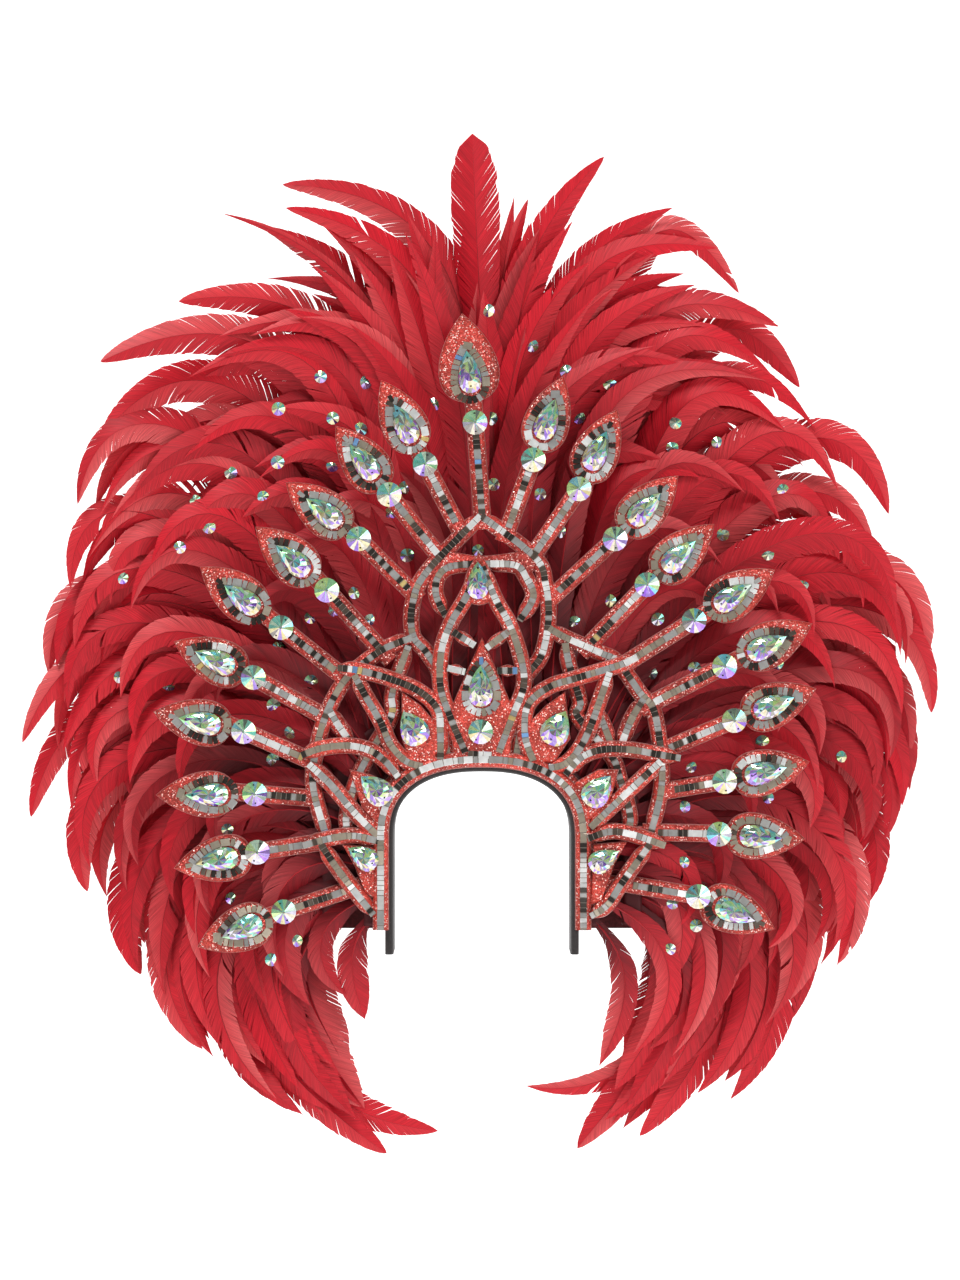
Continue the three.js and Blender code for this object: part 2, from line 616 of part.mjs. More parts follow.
addHeadArch();
addHaloPlate();
addLotusPlate();
addStones();
addPlumes();
addBacking();

export default headdress;
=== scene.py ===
"""The looks of a carnival feather headdress: plumes, glitter sheets, mirror tiles and crystals on its frame.

Shapes are worked out in millimetres in the frame's own axes, and turned into metres when an object is made.
"""

import math

import bpy
import numpy as np
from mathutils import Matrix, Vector
from mathutils.bvhtree import BVHTree


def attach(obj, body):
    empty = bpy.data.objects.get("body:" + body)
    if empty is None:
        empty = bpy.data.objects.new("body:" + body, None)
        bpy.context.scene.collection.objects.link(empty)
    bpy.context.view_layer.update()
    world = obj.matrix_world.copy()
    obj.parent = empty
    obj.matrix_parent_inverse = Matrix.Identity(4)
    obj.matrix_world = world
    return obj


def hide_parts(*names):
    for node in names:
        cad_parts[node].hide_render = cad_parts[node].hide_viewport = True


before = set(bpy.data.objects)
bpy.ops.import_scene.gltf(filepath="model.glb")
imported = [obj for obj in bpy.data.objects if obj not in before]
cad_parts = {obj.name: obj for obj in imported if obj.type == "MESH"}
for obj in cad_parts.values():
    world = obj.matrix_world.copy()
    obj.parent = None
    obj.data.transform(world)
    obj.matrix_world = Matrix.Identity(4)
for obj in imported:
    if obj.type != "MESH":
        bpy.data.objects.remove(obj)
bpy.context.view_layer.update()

MM = 0.001
SEED = 20


def table(columns, rows):
    """Records from the names of columns and rows of values. A row may leave out its last columns."""
    return [dict(zip(columns.split(), row)) for row in rows]


def mirrored(half):
    """A section from its left half."""
    return half + [(-across, high, pale) for across, high, pale in reversed(half)]


# The photograph's frame: how much one pixel is at the front sheet, and the pixel of the arch's inner apex
PIXEL = 0.72
FRAME_TALL = 1280
APEX_PIXEL = (482, 772)
FRAME_CENTRE = (480, 640)
CAMERA_DISTANCE = 2000
SENSOR = 36.0

# The head arch, as in the frame: a superellipse over two straight legs
HEAD_HALF_WIDTH = 64
CROWN_HEIGHT = 48
ARCH_POWER = 2 / 2.4
LEG_PER_STATION = 100
ARCH_WALL = 6
ARCH_FRONT = -5
ARCH_REAR = 40
ARCH_END = 1.84

# The two sheets of foam, and how high their parts stand over one another, so that no two faces coincide
SHEET = 4
STRIP_RISE = 1
SEAT_GAP = 0.3
HALO_BACK = 0
LOTUS_BACK = HALO_BACK - SHEET - STRIP_RISE - SEAT_GAP
BAND_WIDTH = 12
NARROW_BAND = 9
BAND_STEP = 2.5
BAND_END = {"pointed": 0.7, "reach": 0.8, "least": 0.04, "power": 1.5}
HALO_RIM = {"offset": 13, "end": 1.5}
LOTUS_RIM = {"offset": 9, "end": 1.66}
LIFT = {"band": 0.02, "leaf": 0.1, "rim": 0.4, "web": -0.3, "round_stone": 0.6}
LEAF = {"length": 58, "width": 33}
TOP_LEAF = {"length": 65, "width": 43}
LEAF_RING = {"length": 40.5, "width": 22}
LEAF_SEAT = 0.52
LEAF_BULGE = {"low": 0.7, "high": 0.68, "above": 0.06}
LEAF_SEGMENTS = 16
RING_SEGMENTS = 14
CREST_SEGMENTS = 12
STEM_WIDTH = 13
STEM_ROOT = 11
STEM_NECK = 16

# The section of a foam band: share of the half width, share of the thickness, and how pale it is at its
# outer edge
FOAM_SECTION = mirrored([(-1, 0, 1), (-0.95, 0.32, 0.9), (-0.86, 0.62, 0), (-0.66, 0.9, 0), (-0.45, 1, 0)])
SOFT_SECTION = mirrored([(-0.55, 0, 0), (-1, 0.06, 0), (-1, 0.94, 0), (-0.55, 1, 0)])

# The rounded edge of a cut sheet: how far in from its outline, share of the thickness, and how pale
ROUNDED_EDGE = [(0, 0, 1), (0.3, 0.32, 0.9), (0.8, 0.62, 0), (2.0, 0.9, 0), (3.4, 1, 0)]
LEAST_INSET = 0.2

# Teardrop crystals. Each ring of the cut has its share of the outline, its height, and whether it is turned
# by half a facet. The holes are placed by shares of the length.
DROP = {"length": 31, "width": 16}
DROP_SEGMENTS = 8
DROP_RINGS = [(1, 0, False), (1, 1.0, False), (0.8, 2.7, True), (0.46, 4.6, False)]
DROP_HOLES = (0.33, -0.34)
DROP_HOLE_HEIGHT = 3.4

# Round crystals. Each ring has its shares of the radius and of the height, and so have the holes
ROUND_STONE = {"radius": 9, "height": 4.4, "sides": 16, "holes": True}
ROUND_RINGS = [(1, 0), (1, 0.3), (0.12, 1)]
ROUND_HOLES = (0.72, 0.55)
HOLE_TURN = 0.6
HOLE_RADIUS = 0.75
HOLE_SIDES = 8

# Mirror tiles on the bands and round the leaves: size, how much they vary across, how many lengths a long
# one spans, and the least cosine of the bend that it spans. The bed shows in the joints of the bands
TILE = {"thick": 0.9, "bevel": 0.25, "joint": 0.5, "tilt": 0.035, "least": 0.6}
BAND_TILE = {"along": 3.6, "across": 5.0, "vary": (0.94, 1.03), "longest": 3, "straight": 0.985}
RING_TILE = {"along": 3.7, "across": 5.6, "vary": (0.92, 1.05), "longest": 2, "straight": -1}
TILE_BED = {"width": 4.7, "height": 0.54}

# Feather rows and the board behind them, which stand where the frame has them
ROWS = 5
ROW_PITCH = 5
ROW_SPREAD = 6
OPEN_FROM = 1.12
OPEN_OVER = 0.8
CROWDING = 0.4
CROWDED_TO = 0.82
ROW_FRONT = 0.3
INNER_ROOTS = 14.5
OUTER_ROOTS = 45
ROOT_STRIP = 14
ROOT_BITE = 3
STRIP_THICK = ROW_PITCH - SEAT_GAP
STRIP_SHADE = 0.6
FEATHER_SINK = 1.2
BACKING = {"thick": 3, "reach": 52, "end": 1.68}
FAN = {"centre_z": -30, "side": 340, "top": 490, "low": 260, "back": 20, "curl": 20}
CURL_REACH = 1.05
CURL_POWER = 6

# A feather's curve: its handles as shares of its swing, which widens as it turns through more degrees
START_HANDLE = 0.44
END_HANDLE = 0.38
CURVE_POINTS = 72
WIDE_SWING = {"share": 0.42, "from": 50, "over": 90}

# A feather's depth: its fold, roll and ripple, and how little it goes past the deepest plane
VANE_FOLD = 0.39
ROLL_SPREAD = 0.16
RIPPLE_HEIGHT = (0.3, 1.4)
RIPPLE_TURNS = 7
DEEPEST = 75
PAST_DEEPEST = 0.1

# A feather's vanes: clumps of barbs on a quill, a few of them split or worn back
CLUMP_PITCH = 3.0
CLUMP_OVERLAP = 1.12
BARB_LEAN = 1.3
BARB_ACROSS = np.array([0.0, 0.34, 0.7, 1.0])
VANE = {"foot": 0.3, "widens": 0.4, "narrows": 0.6}
PADDLE = [(0, 0.25), (0.3, 0.4), (0.62, 0.55), (0.78, 0.9), (0.86, 1), (0.94, 0.92), (0.98, 0.6), (1, 0)]
BLUNT_TIP = (0.6, 0.95)
FINE_TIP = (0.9, 1.4)
WORN_SHARE = 0.25
SPLITS = {"worn": 0.03, "fresh": 0.005}
SPLIT_BACK = (0.55, 0.9)
SPLIT_SAW = 0.12
SAW = {"least": 0.03, "front": 0.3}
RAGGED = 0.025
STIR = 0.12

# A feather's quill: a three-sided rod, with its corners by shares of the radius sideways and in depth
QUILL_RADIUS = 0.75
QUILL_STEP = 9.0
QUILL_THICKER = 1.1
QUILL_CORNERS = [(-1, 0.3), (0, -0.9), (1, 0.3)]

# Rays of the rear sheet, from the lower left round to the lower right
RAYS = table("foot stone tip top", [
    ((-98, -86), (-143, -101), (-206, -127)),
    ((-129, -53), (-162, -58), (-223, -70)),
    ((-127, -19), (-164, -16), (-236, -17)),
    ((-129, 10), (-172, 29), (-238, 43)),
    ((-118, 42), (-165, 68), (-223, 94)),
    ((-106, 73), (-145, 104), (-204, 148)),
    ((-73, 88), (-112, 131), (-164, 177)),
    ((-53, 132), (-89, 168), (-142, 209)),
    ((-32, 157), (-67, 200), (-106, 250)),
    ((-19, 180), (-41, 222), (-73, 283)),
    ((0, 186), (-5, 252), (-14, 328), True),
    ((19, 176), (37, 225), (59, 286)),
    ((37, 156), (70, 204), (98, 262)),
    ((55, 130), (96, 168), (142, 214)),
    ((79, 93), (119, 135), (168, 179)),
    ((110, 82), (153, 109), (212, 146)),
    ((124, 50), (175, 76), (239, 107)),
    ((135, 17), (182, 37), (242, 60)),
    ((139, -13), (175, -7), (237, 7)),
    ((127, -44), (171, -45), (234, -49)),
    ((109, -82), (156, -90), (212, -114)),
])

# Bands of the rear lattice and of the front sheet, each a smooth curve through its points
HALO_BANDS = table("points width bare", [
    ([(-24, 6), (-29, 40), (-31, 70), (-40, 86), (-50, 99), (-50, 122), (-40, 144), (-1, 185)],),
    ([(24, 6), (29, 40), (31, 66), (43, 84), (48, 110), (46, 135), (38, 155), (-1, 185)],),
    ([(-3, 150), (-23, 148), (-32, 140), (-33, 127), (-26, 112)],),
    ([(2, 150), (24, 149), (32, 140), (37, 126), (27, 109)],),
    ([(-33, 158), (-1, 152), (38, 157)], 8, True),
    ([(-50, 97), (-70, 89), (-86, 78), (-99, 66), (-111, 45), (-119, 19), (-122, -10), (-112, -48)],),
    ([(48, 104), (60, 97), (85, 86), (98, 79), (114, 57), (125, 41), (130, -6), (122, -44)],),
    ([(-53, 91), (-60, 72), (-65, 55), (-66, 39), (-84, 8), (-92, -10), (-98, -33), (-96, -48)],),
    ([(60, 93), (63, 77), (71, 50), (69, 40), (93, 12), (99, -3), (107, -32), (104, -46)],),
    ([(-111, 46), (-104, 34), (-94, 20)],),
    ([(117, 53), (108, 38), (100, 18)],),
    ([(80, 46), (86, 38), (94, 18)],),
    ([(-129, -53), (-110, -48), (-92, -46), (-74, -50)], BAND_WIDTH, True),
    ([(127, -46), (108, -45), (92, -43), (74, -48)], BAND_WIDTH, True),
    ([(-98, -86), (-76, -84)], BAND_WIDTH, True),
    ([(109, -82), (76, -80)], BAND_WIDTH, True),
])
LOTUS_BANDS = table("points width bare", [
    ([(-1, 148), (-12, 125), (-22, 108), (-29, 88), (-30, 62), (-23, 40), (-12, 14)],),
    ([(0, 148), (10, 124), (20, 106), (28, 82), (30, 62), (22, 40), (12, 14)],),
    ([(-104, 75), (-88, 73), (-66, 67), (-45, 58), (-32, 45), (-30, 28), (-30, 9)],),
    ([(112, 83), (99, 77), (66, 67), (48, 61), (33, 48), (31, 26), (37, 8)],),
    ([(-92, 70), (-84, 55), (-73, 36), (-66, 20), (-55, 8), (-43, 4)],),
    ([(92, 72), (85, 52), (79, 35), (71, 18), (60, 6), (48, 3)],),
    ([(-130, 12), (-116, 17), (-98, 19), (-82, 16), (-70, 8), (-60, -4)],),
    ([(143, 10), (125, 13), (107, 16), (86, 16), (71, 10), (60, -2)],),
    ([(-125, 6), (-109, -9), (-92, -29), (-75, -46)],),
    ([(129, 8), (114, -6), (98, -21), (78, -40)],),
    ([(-129, -53), (-110, -48), (-92, -46), (-74, -50)],),
    ([(132, -53), (108, -45), (92, -43), (76, -48)],),
    ([(-116, -52), (-106, -67), (-94, -83), (-78, -103)],),
    ([(121, -52), (110, -67), (100, -81), (90, -96), (78, -104)],),
    ([(-21, 101), (-5, 91)], NARROW_BAND),
    ([(3, 89), (19, 101)], NARROW_BAND),
    ([(-25, 75), (-12, 72)], NARROW_BAND),
    ([(11, 73), (26, 73)], NARROW_BAND),
    ([(-10, 13), (7, 12)], NARROW_BAND),
])

# The front sheet's petals, filled between their bands
LOTUS_WEBS = [
    [(-24, 42), (-14, 66), (0, 97), (14, 66), (24, 42), (20, 6), (-20, 6)],
    [(-58, 58), (-44, 48), (-32, 34), (-32, 6), (-52, 6), (-58, 24)],
    [(60, 58), (46, 48), (32, 34), (36, 6), (52, 6), (64, 24)],
    [(-96, 2), (-80, -2), (-66, -8), (-72, -42), (-86, -28)],
    [(99, 2), (84, 2), (66, -8), (74, -38), (92, -24)],
    [(-101, -52), (-78, -54), (-76, -92), (-84, -88), (-92, -68)],
    [(105, -50), (80, -52), (78, -96), (86, -94), (96, -66)],
]
CENTRE_RING = {"at": (-0.5, 61.5), "length": 37, "width": 22}
CREST = {"at": (-2, 139), "length": 38, "width": 22}

# Stones of the front sheet: middle, the point's turn from upright in degrees clockwise, and size.
# The one without a size is round, and those over a strip stand higher.
CROWN_STONES = table("at turn length width over_strip", [
    ((-3, 138), 0, 27, 15, True),
    ((-1, 62), 0, 30, 17),
    ((-1, 29),),
    ((-50, 32), -30, 27, 20),
    ((54, 32), 28, 27, 20),
    ((-77, -12), -48, 27, 19, True),
    ((84, -13), 40, 27, 19),
    ((-86, -61), -58, 24, 16, True),
    ((88, -63), 60, 24, 16, True),
])

# The fan at one side, by station round it: first heading, tip and last heading, in degrees
# clockwise from upright. The other side is its mirror image.
FAN_LINES = table("station start tip end", [
    (0.0, 0, (0, 440), 0),
    (0.12, 2, (70, 425), 30),
    (0.24, 3, (135, 395), 65),
    (0.36, 4, (190, 340), 105),
    (0.46, 6, (235, 280), 135),
    (0.56, 12, (285, 195), 155),
    (0.66, 24, (315, 90), 176),
    (0.76, 38, (320, 0), 186),
    (0.88, 48, (300, -80), 196),
    (1.0, 58, (262, -145), 208),
    (1.15, 72, (215, -195), 214),
    (1.3, 88, (165, -240), 220),
    (1.45, 112, (115, -262), 224),
    (1.64, 150, (80, -262), 220),
])
SECTORS = table("name from to", [
    ("left_low", -1.64, -0.82),
    ("left_high", -0.82, -0.32),
    ("top", -0.32, 0.32),
    ("right_high", 0.32, 0.82),
    ("right_low", 0.82, 1.64),
])

# Front rows: how far their feathers reach along the fan, and how many each bunch has. They vary by place,
# reach, width and depth, and their first and last headings by spreads in degrees. They narrow at the sides.
FRONT_ROWS = table("row reach width count", [
    (1, 0.5, 27, 7),
    (2, 0.72, 30, 9),
    (3, 0.92, 32, 11),
])
FRONT_VARIETY = {"station": 0.3, "share": (0.84, 1.04), "width": (0.85, 1.15), "lift": (-1.6, 2.2)}
FRONT_TURNS = (4, 9)
LONGEST_SHARE = 0.96
SIDE_NARROWING = {"by": 0.2, "from": 0.4, "over": 0.5}

# Long feathers of the rear rows, in order round the fan: tip, last heading, width, and row
LONG_COLUMNS = "tip end width row paddle"
LONG_FEATHERS = {
    "left_low": table(LONG_COLUMNS, [
        ((-32, -262), 95, 22, 5),
        ((-88, -244), 122, 14, 4),
        ((-69, -277), 122, 25, 5),
        ((-162, -225), 145, 18, 4),
        ((-131, -249), 118, 24, 5),
        ((-205, -205), 135, 24, 4),
        ((-252, -152), 150, 26, 5),
        ((-290, -90), 160, 26, 4),
    ]),
    "left_high": table(LONG_COLUMNS, [
        ((-331, -35), -170, 22, 5),
        ((-335, 20), -162, 20, 4),
        ((-318, 68), 178, 28, 5),
        ((-301, 132), 180, 24, 4),
        ((-284, 192), -165, 22, 5),
        ((-295, 194), -170, 26, 4),
        ((-283, 238), -145, 30, 5),
        ((-277, 297), -118, 30, 4),
        ((-222, 343), -102, 28, 5),
    ]),
    "top": table(LONG_COLUMNS, [
        ((-189, 405), -78, 9, 4),
        ((-164, 399), -72, 30, 5),
        ((-143, 410), -82, 24, 4),
        ((-146, 428), -90, 26, 5),
        ((-7, 464), -2, 36, 4, True),
        ((34, 420), 22, 18, 5),
        ((89, 447), 48, 26, 4),
        ((140, 412), 72, 27, 5),
    ]),
    "right_high": table(LONG_COLUMNS, [
        ((172, 381), 102, 25, 4),
        ((189, 350), 148, 26, 5),
        ((217, 324), 118, 27, 4),
        ((234, 281), 148, 28, 5),
        ((297, 187), 165, 28, 4),
        ((325, 79), 182, 30, 5),
        ((328, 42), 182, 20, 4),
        ((314, 10), 185, 24, 5),
        ((296, -52), 200, 24, 4),
    ]),
    "right_low": table(LONG_COLUMNS, [
        ((285, -100), 202, 26, 5),
        ((261, -144), 212, 27, 4),
        ((228, -186), 205, 22, 5),
        ((181, -240), 225, 26, 4),
        ((173, -212), 232, 14, 5),
        ((114, -264), 225, 25, 4),
        ((129, -214), 232, 16, 5),
        ((69, -273), 220, 25, 4),
        ((32, -230), 280, 14, 5),
    ]),
}
LONG_GROWTH = 1.25

# Shorter feathers that fill the fan between the long ones, and the spreads of their headings
FILLERS_PER_LONG = 4
FILLER = {"near": 0.08, "from": 0.72, "width": (26, 36), "lift": (-2.2, 1.0)}
FILLER_TURNS = (3, 6)

# Small round stones glued on the feathers, by their column and line in the photograph
SMALL_STONE = {"radius": 4.9, "height": 2.6, "sides": 12, "holes": False}
SMALL_STONE_SINK = 0.4
SMALL_STONE_SIZES = (0.88, 1.05)
SMALL_STONE_PIXELS = [
    (488, 305), (533, 340), (568, 367), (612, 379), (581, 413), (434, 399), (491, 414), (494, 482),
    (541, 492), (404, 484), (563, 530), (478, 549), (406, 554), (317, 371), (362, 376), (275, 405),
    (330, 414), (225, 469), (188, 497), (275, 460), (259, 494), (330, 463), (175, 546), (204, 525),
    (116, 577), (111, 678), (160, 688), (307, 617), (353, 592), (332, 610), (369, 620), (273, 648),
    (309, 682), (271, 706), (289, 733), (270, 761), (224, 832), (226, 904), (295, 943), (270, 962),
    (389, 511), (358, 425), (723, 438), (789, 487), (729, 532), (772, 553), (810, 583), (677, 443),
    (680, 418), (612, 600), (576, 622), (661, 619), (654, 674), (698, 669), (785, 667), (693, 768),
    (686, 808), (685, 864), (674, 905), (698, 928), (671, 951), (768, 744), (774, 801), (850, 759),
]

# The studio, in metres: its lamps, the sky's strength, and the floor that sweeps up into a wall
LAMPS = table("name place size power", [
    ("key", (-0.8, -1.25, 2.6), 0.9, 56),
    ("fill", (1.5, -1.9, 0.7), 1.3, 18),
    ("rear", (0.5, 1.7, 1.8), 1.2, 14),
])
LAMP_TARGET = (0, 0, 0.1)
SKY = 0.36
BACKDROP = {"floor": -0.5, "front": -3.0, "back": 3.2, "bend": 1.2, "height": 4.5, "half_width": 4.5}
BACKDROP_STEPS = 12

# Colours, as linear red, green and blue. A feather's tone is a share from deep to main red, partly random.
# Its rise along it and outwards in the fan is painted shade, and on one side it turns pink, a painted
# highlight.
RED_DEEP = (0.10, 0.003, 0.006)
RED_MAIN = (0.47, 0.007, 0.017)
PAINTED_HIGHLIGHT_PINK = (0.68, 0.12, 0.12)
QUILL_RED = (0.34, 0.012, 0.018)
QUILL_SHADES = (0.7, 1.25)
TONE_AND_PAINTED_SHADE = {"feathers": 0.19, "barbs": 0.05, "along": 0.5, "along_over": 1 / 1.3, "out": 0.7, "out_from": 0.3,
        "out_over": 0.55, "most": 1.2}
# The painted pink highlight on a feather's lit side
PAINTED_HIGHLIGHT = {"power": 1.6, "quill": 0.45, "unlit": 0.1, "from": 0.2, "over": 0.5, "most": 0.8}
CORAL = (0.58, 0.058, 0.038)
# The rear sheet's coral: the same glitter made darker, as painted shade
CORAL_PAINTED_SHADE = (0.50, 0.046, 0.032)
EDGE_PALE = (0.55, 0.22, 0.20)
# Painted glints: colours of the few glitter flakes painted bright
PAINTED_GLINT_RED = (1.0, 0.42, 0.34)
PAINTED_GLINT_PALE = (1.0, 0.86, 0.8)
PADDING_BLACK = (0.012, 0.008, 0.008)
FELT_RED = (0.09, 0.008, 0.01)
HOLE_DARK = (0.02, 0.015, 0.02)
SEAM_GREY = (0.34, 0.29, 0.25)
# Mirror tile colours are painted reflections, from white to dark, and neighbours often show alike
TILE_PAINTED_REFLECTIONS = {
    "white": (0.95, 0.95, 0.93),
    "silver": (0.46, 0.45, 0.43),
    "beige": (0.41, 0.35, 0.27),
    "dark": (0.045, 0.037, 0.031),
    "brown": (0.12, 0.09, 0.07),
    "blue": (0.22, 0.42, 0.75),
    "gold": (0.75, 0.55, 0.22),
}
TILE_RUNS = table("tints share longest", [
    (("dark", "dark", "brown", "silver"), 0.42, 6),
    (("white", "white", "silver"), 0.24, 4),
    (("beige", "silver", "beige"), 0.28, 5),
    (("blue", "gold", "silver"), 0.06, 1),
])
TILE_SHADES = (0.8, 1.08)
LONG_TINTS = ("white", "beige", "silver")
SPAN_SHARES = (0.66, 0.2, 0.14)
# Crystal facets' colours are painted reflections of the rainbow coat: mostly greens above a stone's middle
# and violets below, some washed pale
CRYSTAL_REFLECTIONS_ABOVE = [(0.30, 0.74, 0.32), (0.52, 0.76, 0.24), (0.14, 0.62, 0.48),
                 (0.60, 0.84, 0.62), (0.14, 0.20, 0.15), (0.14, 0.54, 0.64)]
CRYSTAL_REFLECTIONS_BELOW = [(0.42, 0.20, 0.74), (0.66, 0.62, 0.76), (0.22, 0.07, 0.54),
                 (0.70, 0.62, 0.48), (0.66, 0.56, 0.26), (0.24, 0.21, 0.19)]
CRYSTAL_PALE = (0.75, 0.8, 0.78)
MOST_PALE = 0.25
UPPER_SHARE = 0.6
UPPER_RISE = 1.1


def smooth(value):
    """A step from 0 to 1 that starts and ends gently."""
    t = np.clip(value, 0, 1)
    return t * t * (3 - 2 * t)


def mixed(a, b, share):
    """Colours a and b mixed, for one share or an array of them."""
    share = np.asarray(share, float)[..., None]
    return np.asarray(a) * (1 - share) + np.asarray(b) * share


def heading(turn):
    """The unit step at an angle clockwise from upright, in radians."""
    return np.array([math.sin(turn), math.cos(turn)])


def towards(a, b, distance):
    """The point at a distance from a on the line to b."""
    return a + (b - a) / np.linalg.norm(b - a) * distance


class Path:
    """A curve in the XZ plane, by dense points, that gives places and directions by distance along it."""

    def __init__(self, points):
        self.points = np.asarray(points, float)
        steps = np.linalg.norm(np.diff(self.points, axis=0), axis=1)
        self.distance = np.concatenate([[0], np.cumsum(steps)])
        self.length = self.distance[-1]
        tangents = np.gradient(self.points, self.distance, axis=0)
        self.tangents = tangents / np.linalg.norm(tangents, axis=1)[:, None]

    def at(self, distance):
        """Points and left-hand normals at distances, each of the distances' shape with a pair at the end."""
        point = [np.interp(distance, self.distance, self.points[:, k]) for k in (0, 1)]
        tangent = [np.interp(distance, self.distance, self.tangents[:, k]) for k in (0, 1)]
        size = np.maximum(np.hypot(*tangent), 1e-9)
        return np.stack(point, -1), np.stack([-tangent[1] / size, tangent[0] / size], -1)

    def spaced(self, step):
        """Even distances along the whole path, about step apart."""
        return np.linspace(0, self.length, max(2, round(self.length / step) + 1))


def spline(points):
    """A uniform Catmull-Rom curve through the points, straight if there are two."""
    p = np.asarray(points, float)
    if len(p) == 2:
        return Path(np.linspace(p[0], p[1], 12))
    ends = np.vstack([p[0], p, p[-1]])
    t = np.linspace(0, 1, 16, endpoint=False)[:, None]
    pieces = []
    for a, b, c, d in zip(ends, ends[1:], ends[2:], ends[3:]):
        curve = 2 * b + (c - a) * t + (2 * a - 5 * b + 4 * c - d) * t**2
        pieces.append(0.5 * (curve + (3 * b - a - 3 * c + d) * t**3))
    return Path(np.vstack([*pieces, p[-1:]]))


def bezier(a, b, c, d, count):
    """Points of the cubic curve from a to d with handles b and c."""
    t = np.linspace(0, 1, count)[:, None]
    return (1 - t) ** 3 * a + 3 * t * (1 - t) ** 2 * b + 3 * t * t * (1 - t) * c + t**3 * d


def arch_point(offset, station):
    """A point of the arch's outline moved outwards. Station 0 is the apex, and 1 and -1 are the temples."""
    half_width = HEAD_HALF_WIDTH + offset
    side = math.copysign(1, station)
    along = abs(station)
    if along > 1:
        return np.array([side * half_width, -CROWN_HEIGHT - (along - 1) * LEG_PER_STATION])
    angle = along * math.pi / 2
    x = side * half_width * math.sin(angle) ** ARCH_POWER
    z = (CROWN_HEIGHT + offset) * max(math.cos(angle), 0) ** ARCH_POWER - CROWN_HEIGHT
    return np.array([x, z])


def arch_path(offset, start, end):
    """The arch's outline between two stations, moved outwards."""
    return Path([arch_point(offset, station) for station in np.linspace(start, end, 181)])


class Part:
    """Vertices in millimetres, faces, and for each vertex a colour and a place on its vane."""

    def __init__(self, vertices, faces, colour, vane=None):
        self.vertices = np.asarray(vertices, float).reshape(-1, 3)
        self.faces = [list(face) for face in faces]
        count = len(self.vertices)
        self.colour = np.broadcast_to(np.asarray(colour, float), (count, 3))
        self.vane = np.zeros((count, 2)) if vane is None else vane.reshape(-1, 2)


def add_object(name, data):
    """A new object in the scene."""
    thing = bpy.data.objects.new(name, data)
    bpy.context.scene.collection.objects.link(thing)
    return thing


def add_piece(name, parts, material, smooth_faces=False, replaces=()):
    """Joins parts into one object that rides with the headdress."""
    faces = []
    start = 0
    for part in parts:
        faces += [[i + start for i in face] for face in part.faces]
        start += len(part.vertices)
    mesh = bpy.data.meshes.new(name)
    mesh.from_pydata((np.vstack([part.vertices for part in parts]) * MM).tolist(), [], faces)
    colours = np.vstack([part.colour for part in parts])
    tints = np.hstack([colours, np.ones((len(colours), 1))]).astype(np.float32)
    mesh.color_attributes.new("tint", "FLOAT_COLOR", "POINT").data.foreach_set("color", tints.ravel())
    corners = np.zeros(len(mesh.loops), np.int64)
    mesh.loops.foreach_get("vertex_index", corners)
    vane = np.vstack([part.vane for part in parts])[corners]
    mesh.uv_layers.new(name="vane").data.foreach_set("uv", vane.astype(np.float32).ravel())
    mesh.polygons.foreach_set("use_smooth", np.full(len(mesh.polygons), smooth_faces))
    mesh.materials.append(material)
    mesh.validate()
    piece = add_object(name, mesh)
    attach(piece, "root")
    if replaces:
        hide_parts(*replaces)
    return piece


def stand(points, depth):
    """Points in X and Z stood up at a depth, which may differ for each."""
    points = np.asarray(points, float)
    return np.stack([points[..., 0], np.broadcast_to(depth, points.shape[:-1]), points[..., 1]], -1)


def loft(rings):
    """Faces between rings of equally many points, and over the first and the last."""
    count = len(rings[0])
    faces = []
    for k in range(len(rings) - 1):
        for i in range(count):
            j = (i + 1) % count
            faces.append((k * count + i, k * count + j, (k + 1) * count + j, (k + 1) * count + i))
    last = (len(rings) - 1) * count
    return faces + [range(count - 1, -1, -1), range(last, last + count)]


def band(path, width, back, thick, section=FOAM_SECTION, pointed=0.0):
    """A strip of even width along a path, from the plane y = back towards -Y. Its ends may be pointed."""
    stations = path.spaced(BAND_STEP)
    middle, normal = path.at(stations)
    from_end = np.minimum(stations, path.length - stations)
    full = np.clip(from_end / (width * BAND_END["reach"]), BAND_END["least"], 1)
    narrow = 1 - pointed * (1 - full) ** BAND_END["power"]
    rings = []
    for across, high, _ in section:
        offset = (across * narrow * width / 2)[:, None]
        rings.append(stand(middle + normal * offset, back - high * thick))
    vertices = np.stack(rings, 1)
    pale = np.array([[row[2]] for row in section])
    return Part(vertices, loft(vertices), np.broadcast_to(pale, vertices.shape).reshape(-1, 3))


def leaf_outline(middle, turn, form, segments):
    """A leaf or drop: round at its foot, pointed at its tip, turned clockwise from upright by an angle."""
    length, width = form["length"], form["width"]
    foot, tip = np.array([0, -length / 2]), np.array([0, length / 2])
    out = np.array([width * LEAF_BULGE["low"], -length / 2])
    over = np.array([width * LEAF_BULGE["high"], length * LEAF_BULGE["above"]])
    side = bezier(foot, out, over, tip, segments + 1)
    points = np.vstack([side, side[-2:0:-1] * (-1, 1)])
    turned = np.stack([points[:, 0] * math.cos(turn) + points[:, 1] * math.sin(turn),
                       points[:, 1] * math.cos(turn) - points[:, 0] * math.sin(turn)], -1)
    return turned + middle


def domed_sheet(outline, back, thick):
    """A flat piece of foam whose edge rounds off, from its outline."""
    centre = outline.mean(0)
    spokes = outline - centre
    reach = np.linalg.norm(spokes, axis=1)[:, None]
    rings = [stand(centre + spokes * np.maximum(1 - inset / reach, LEAST_INSET), back - high * thick)
             for inset, high, _ in ROUNDED_EDGE]
    colour = np.repeat([[pale] for _, _, pale in ROUNDED_EDGE], len(outline), 0)
    return Part(np.vstack(rings), loft(rings), colour)


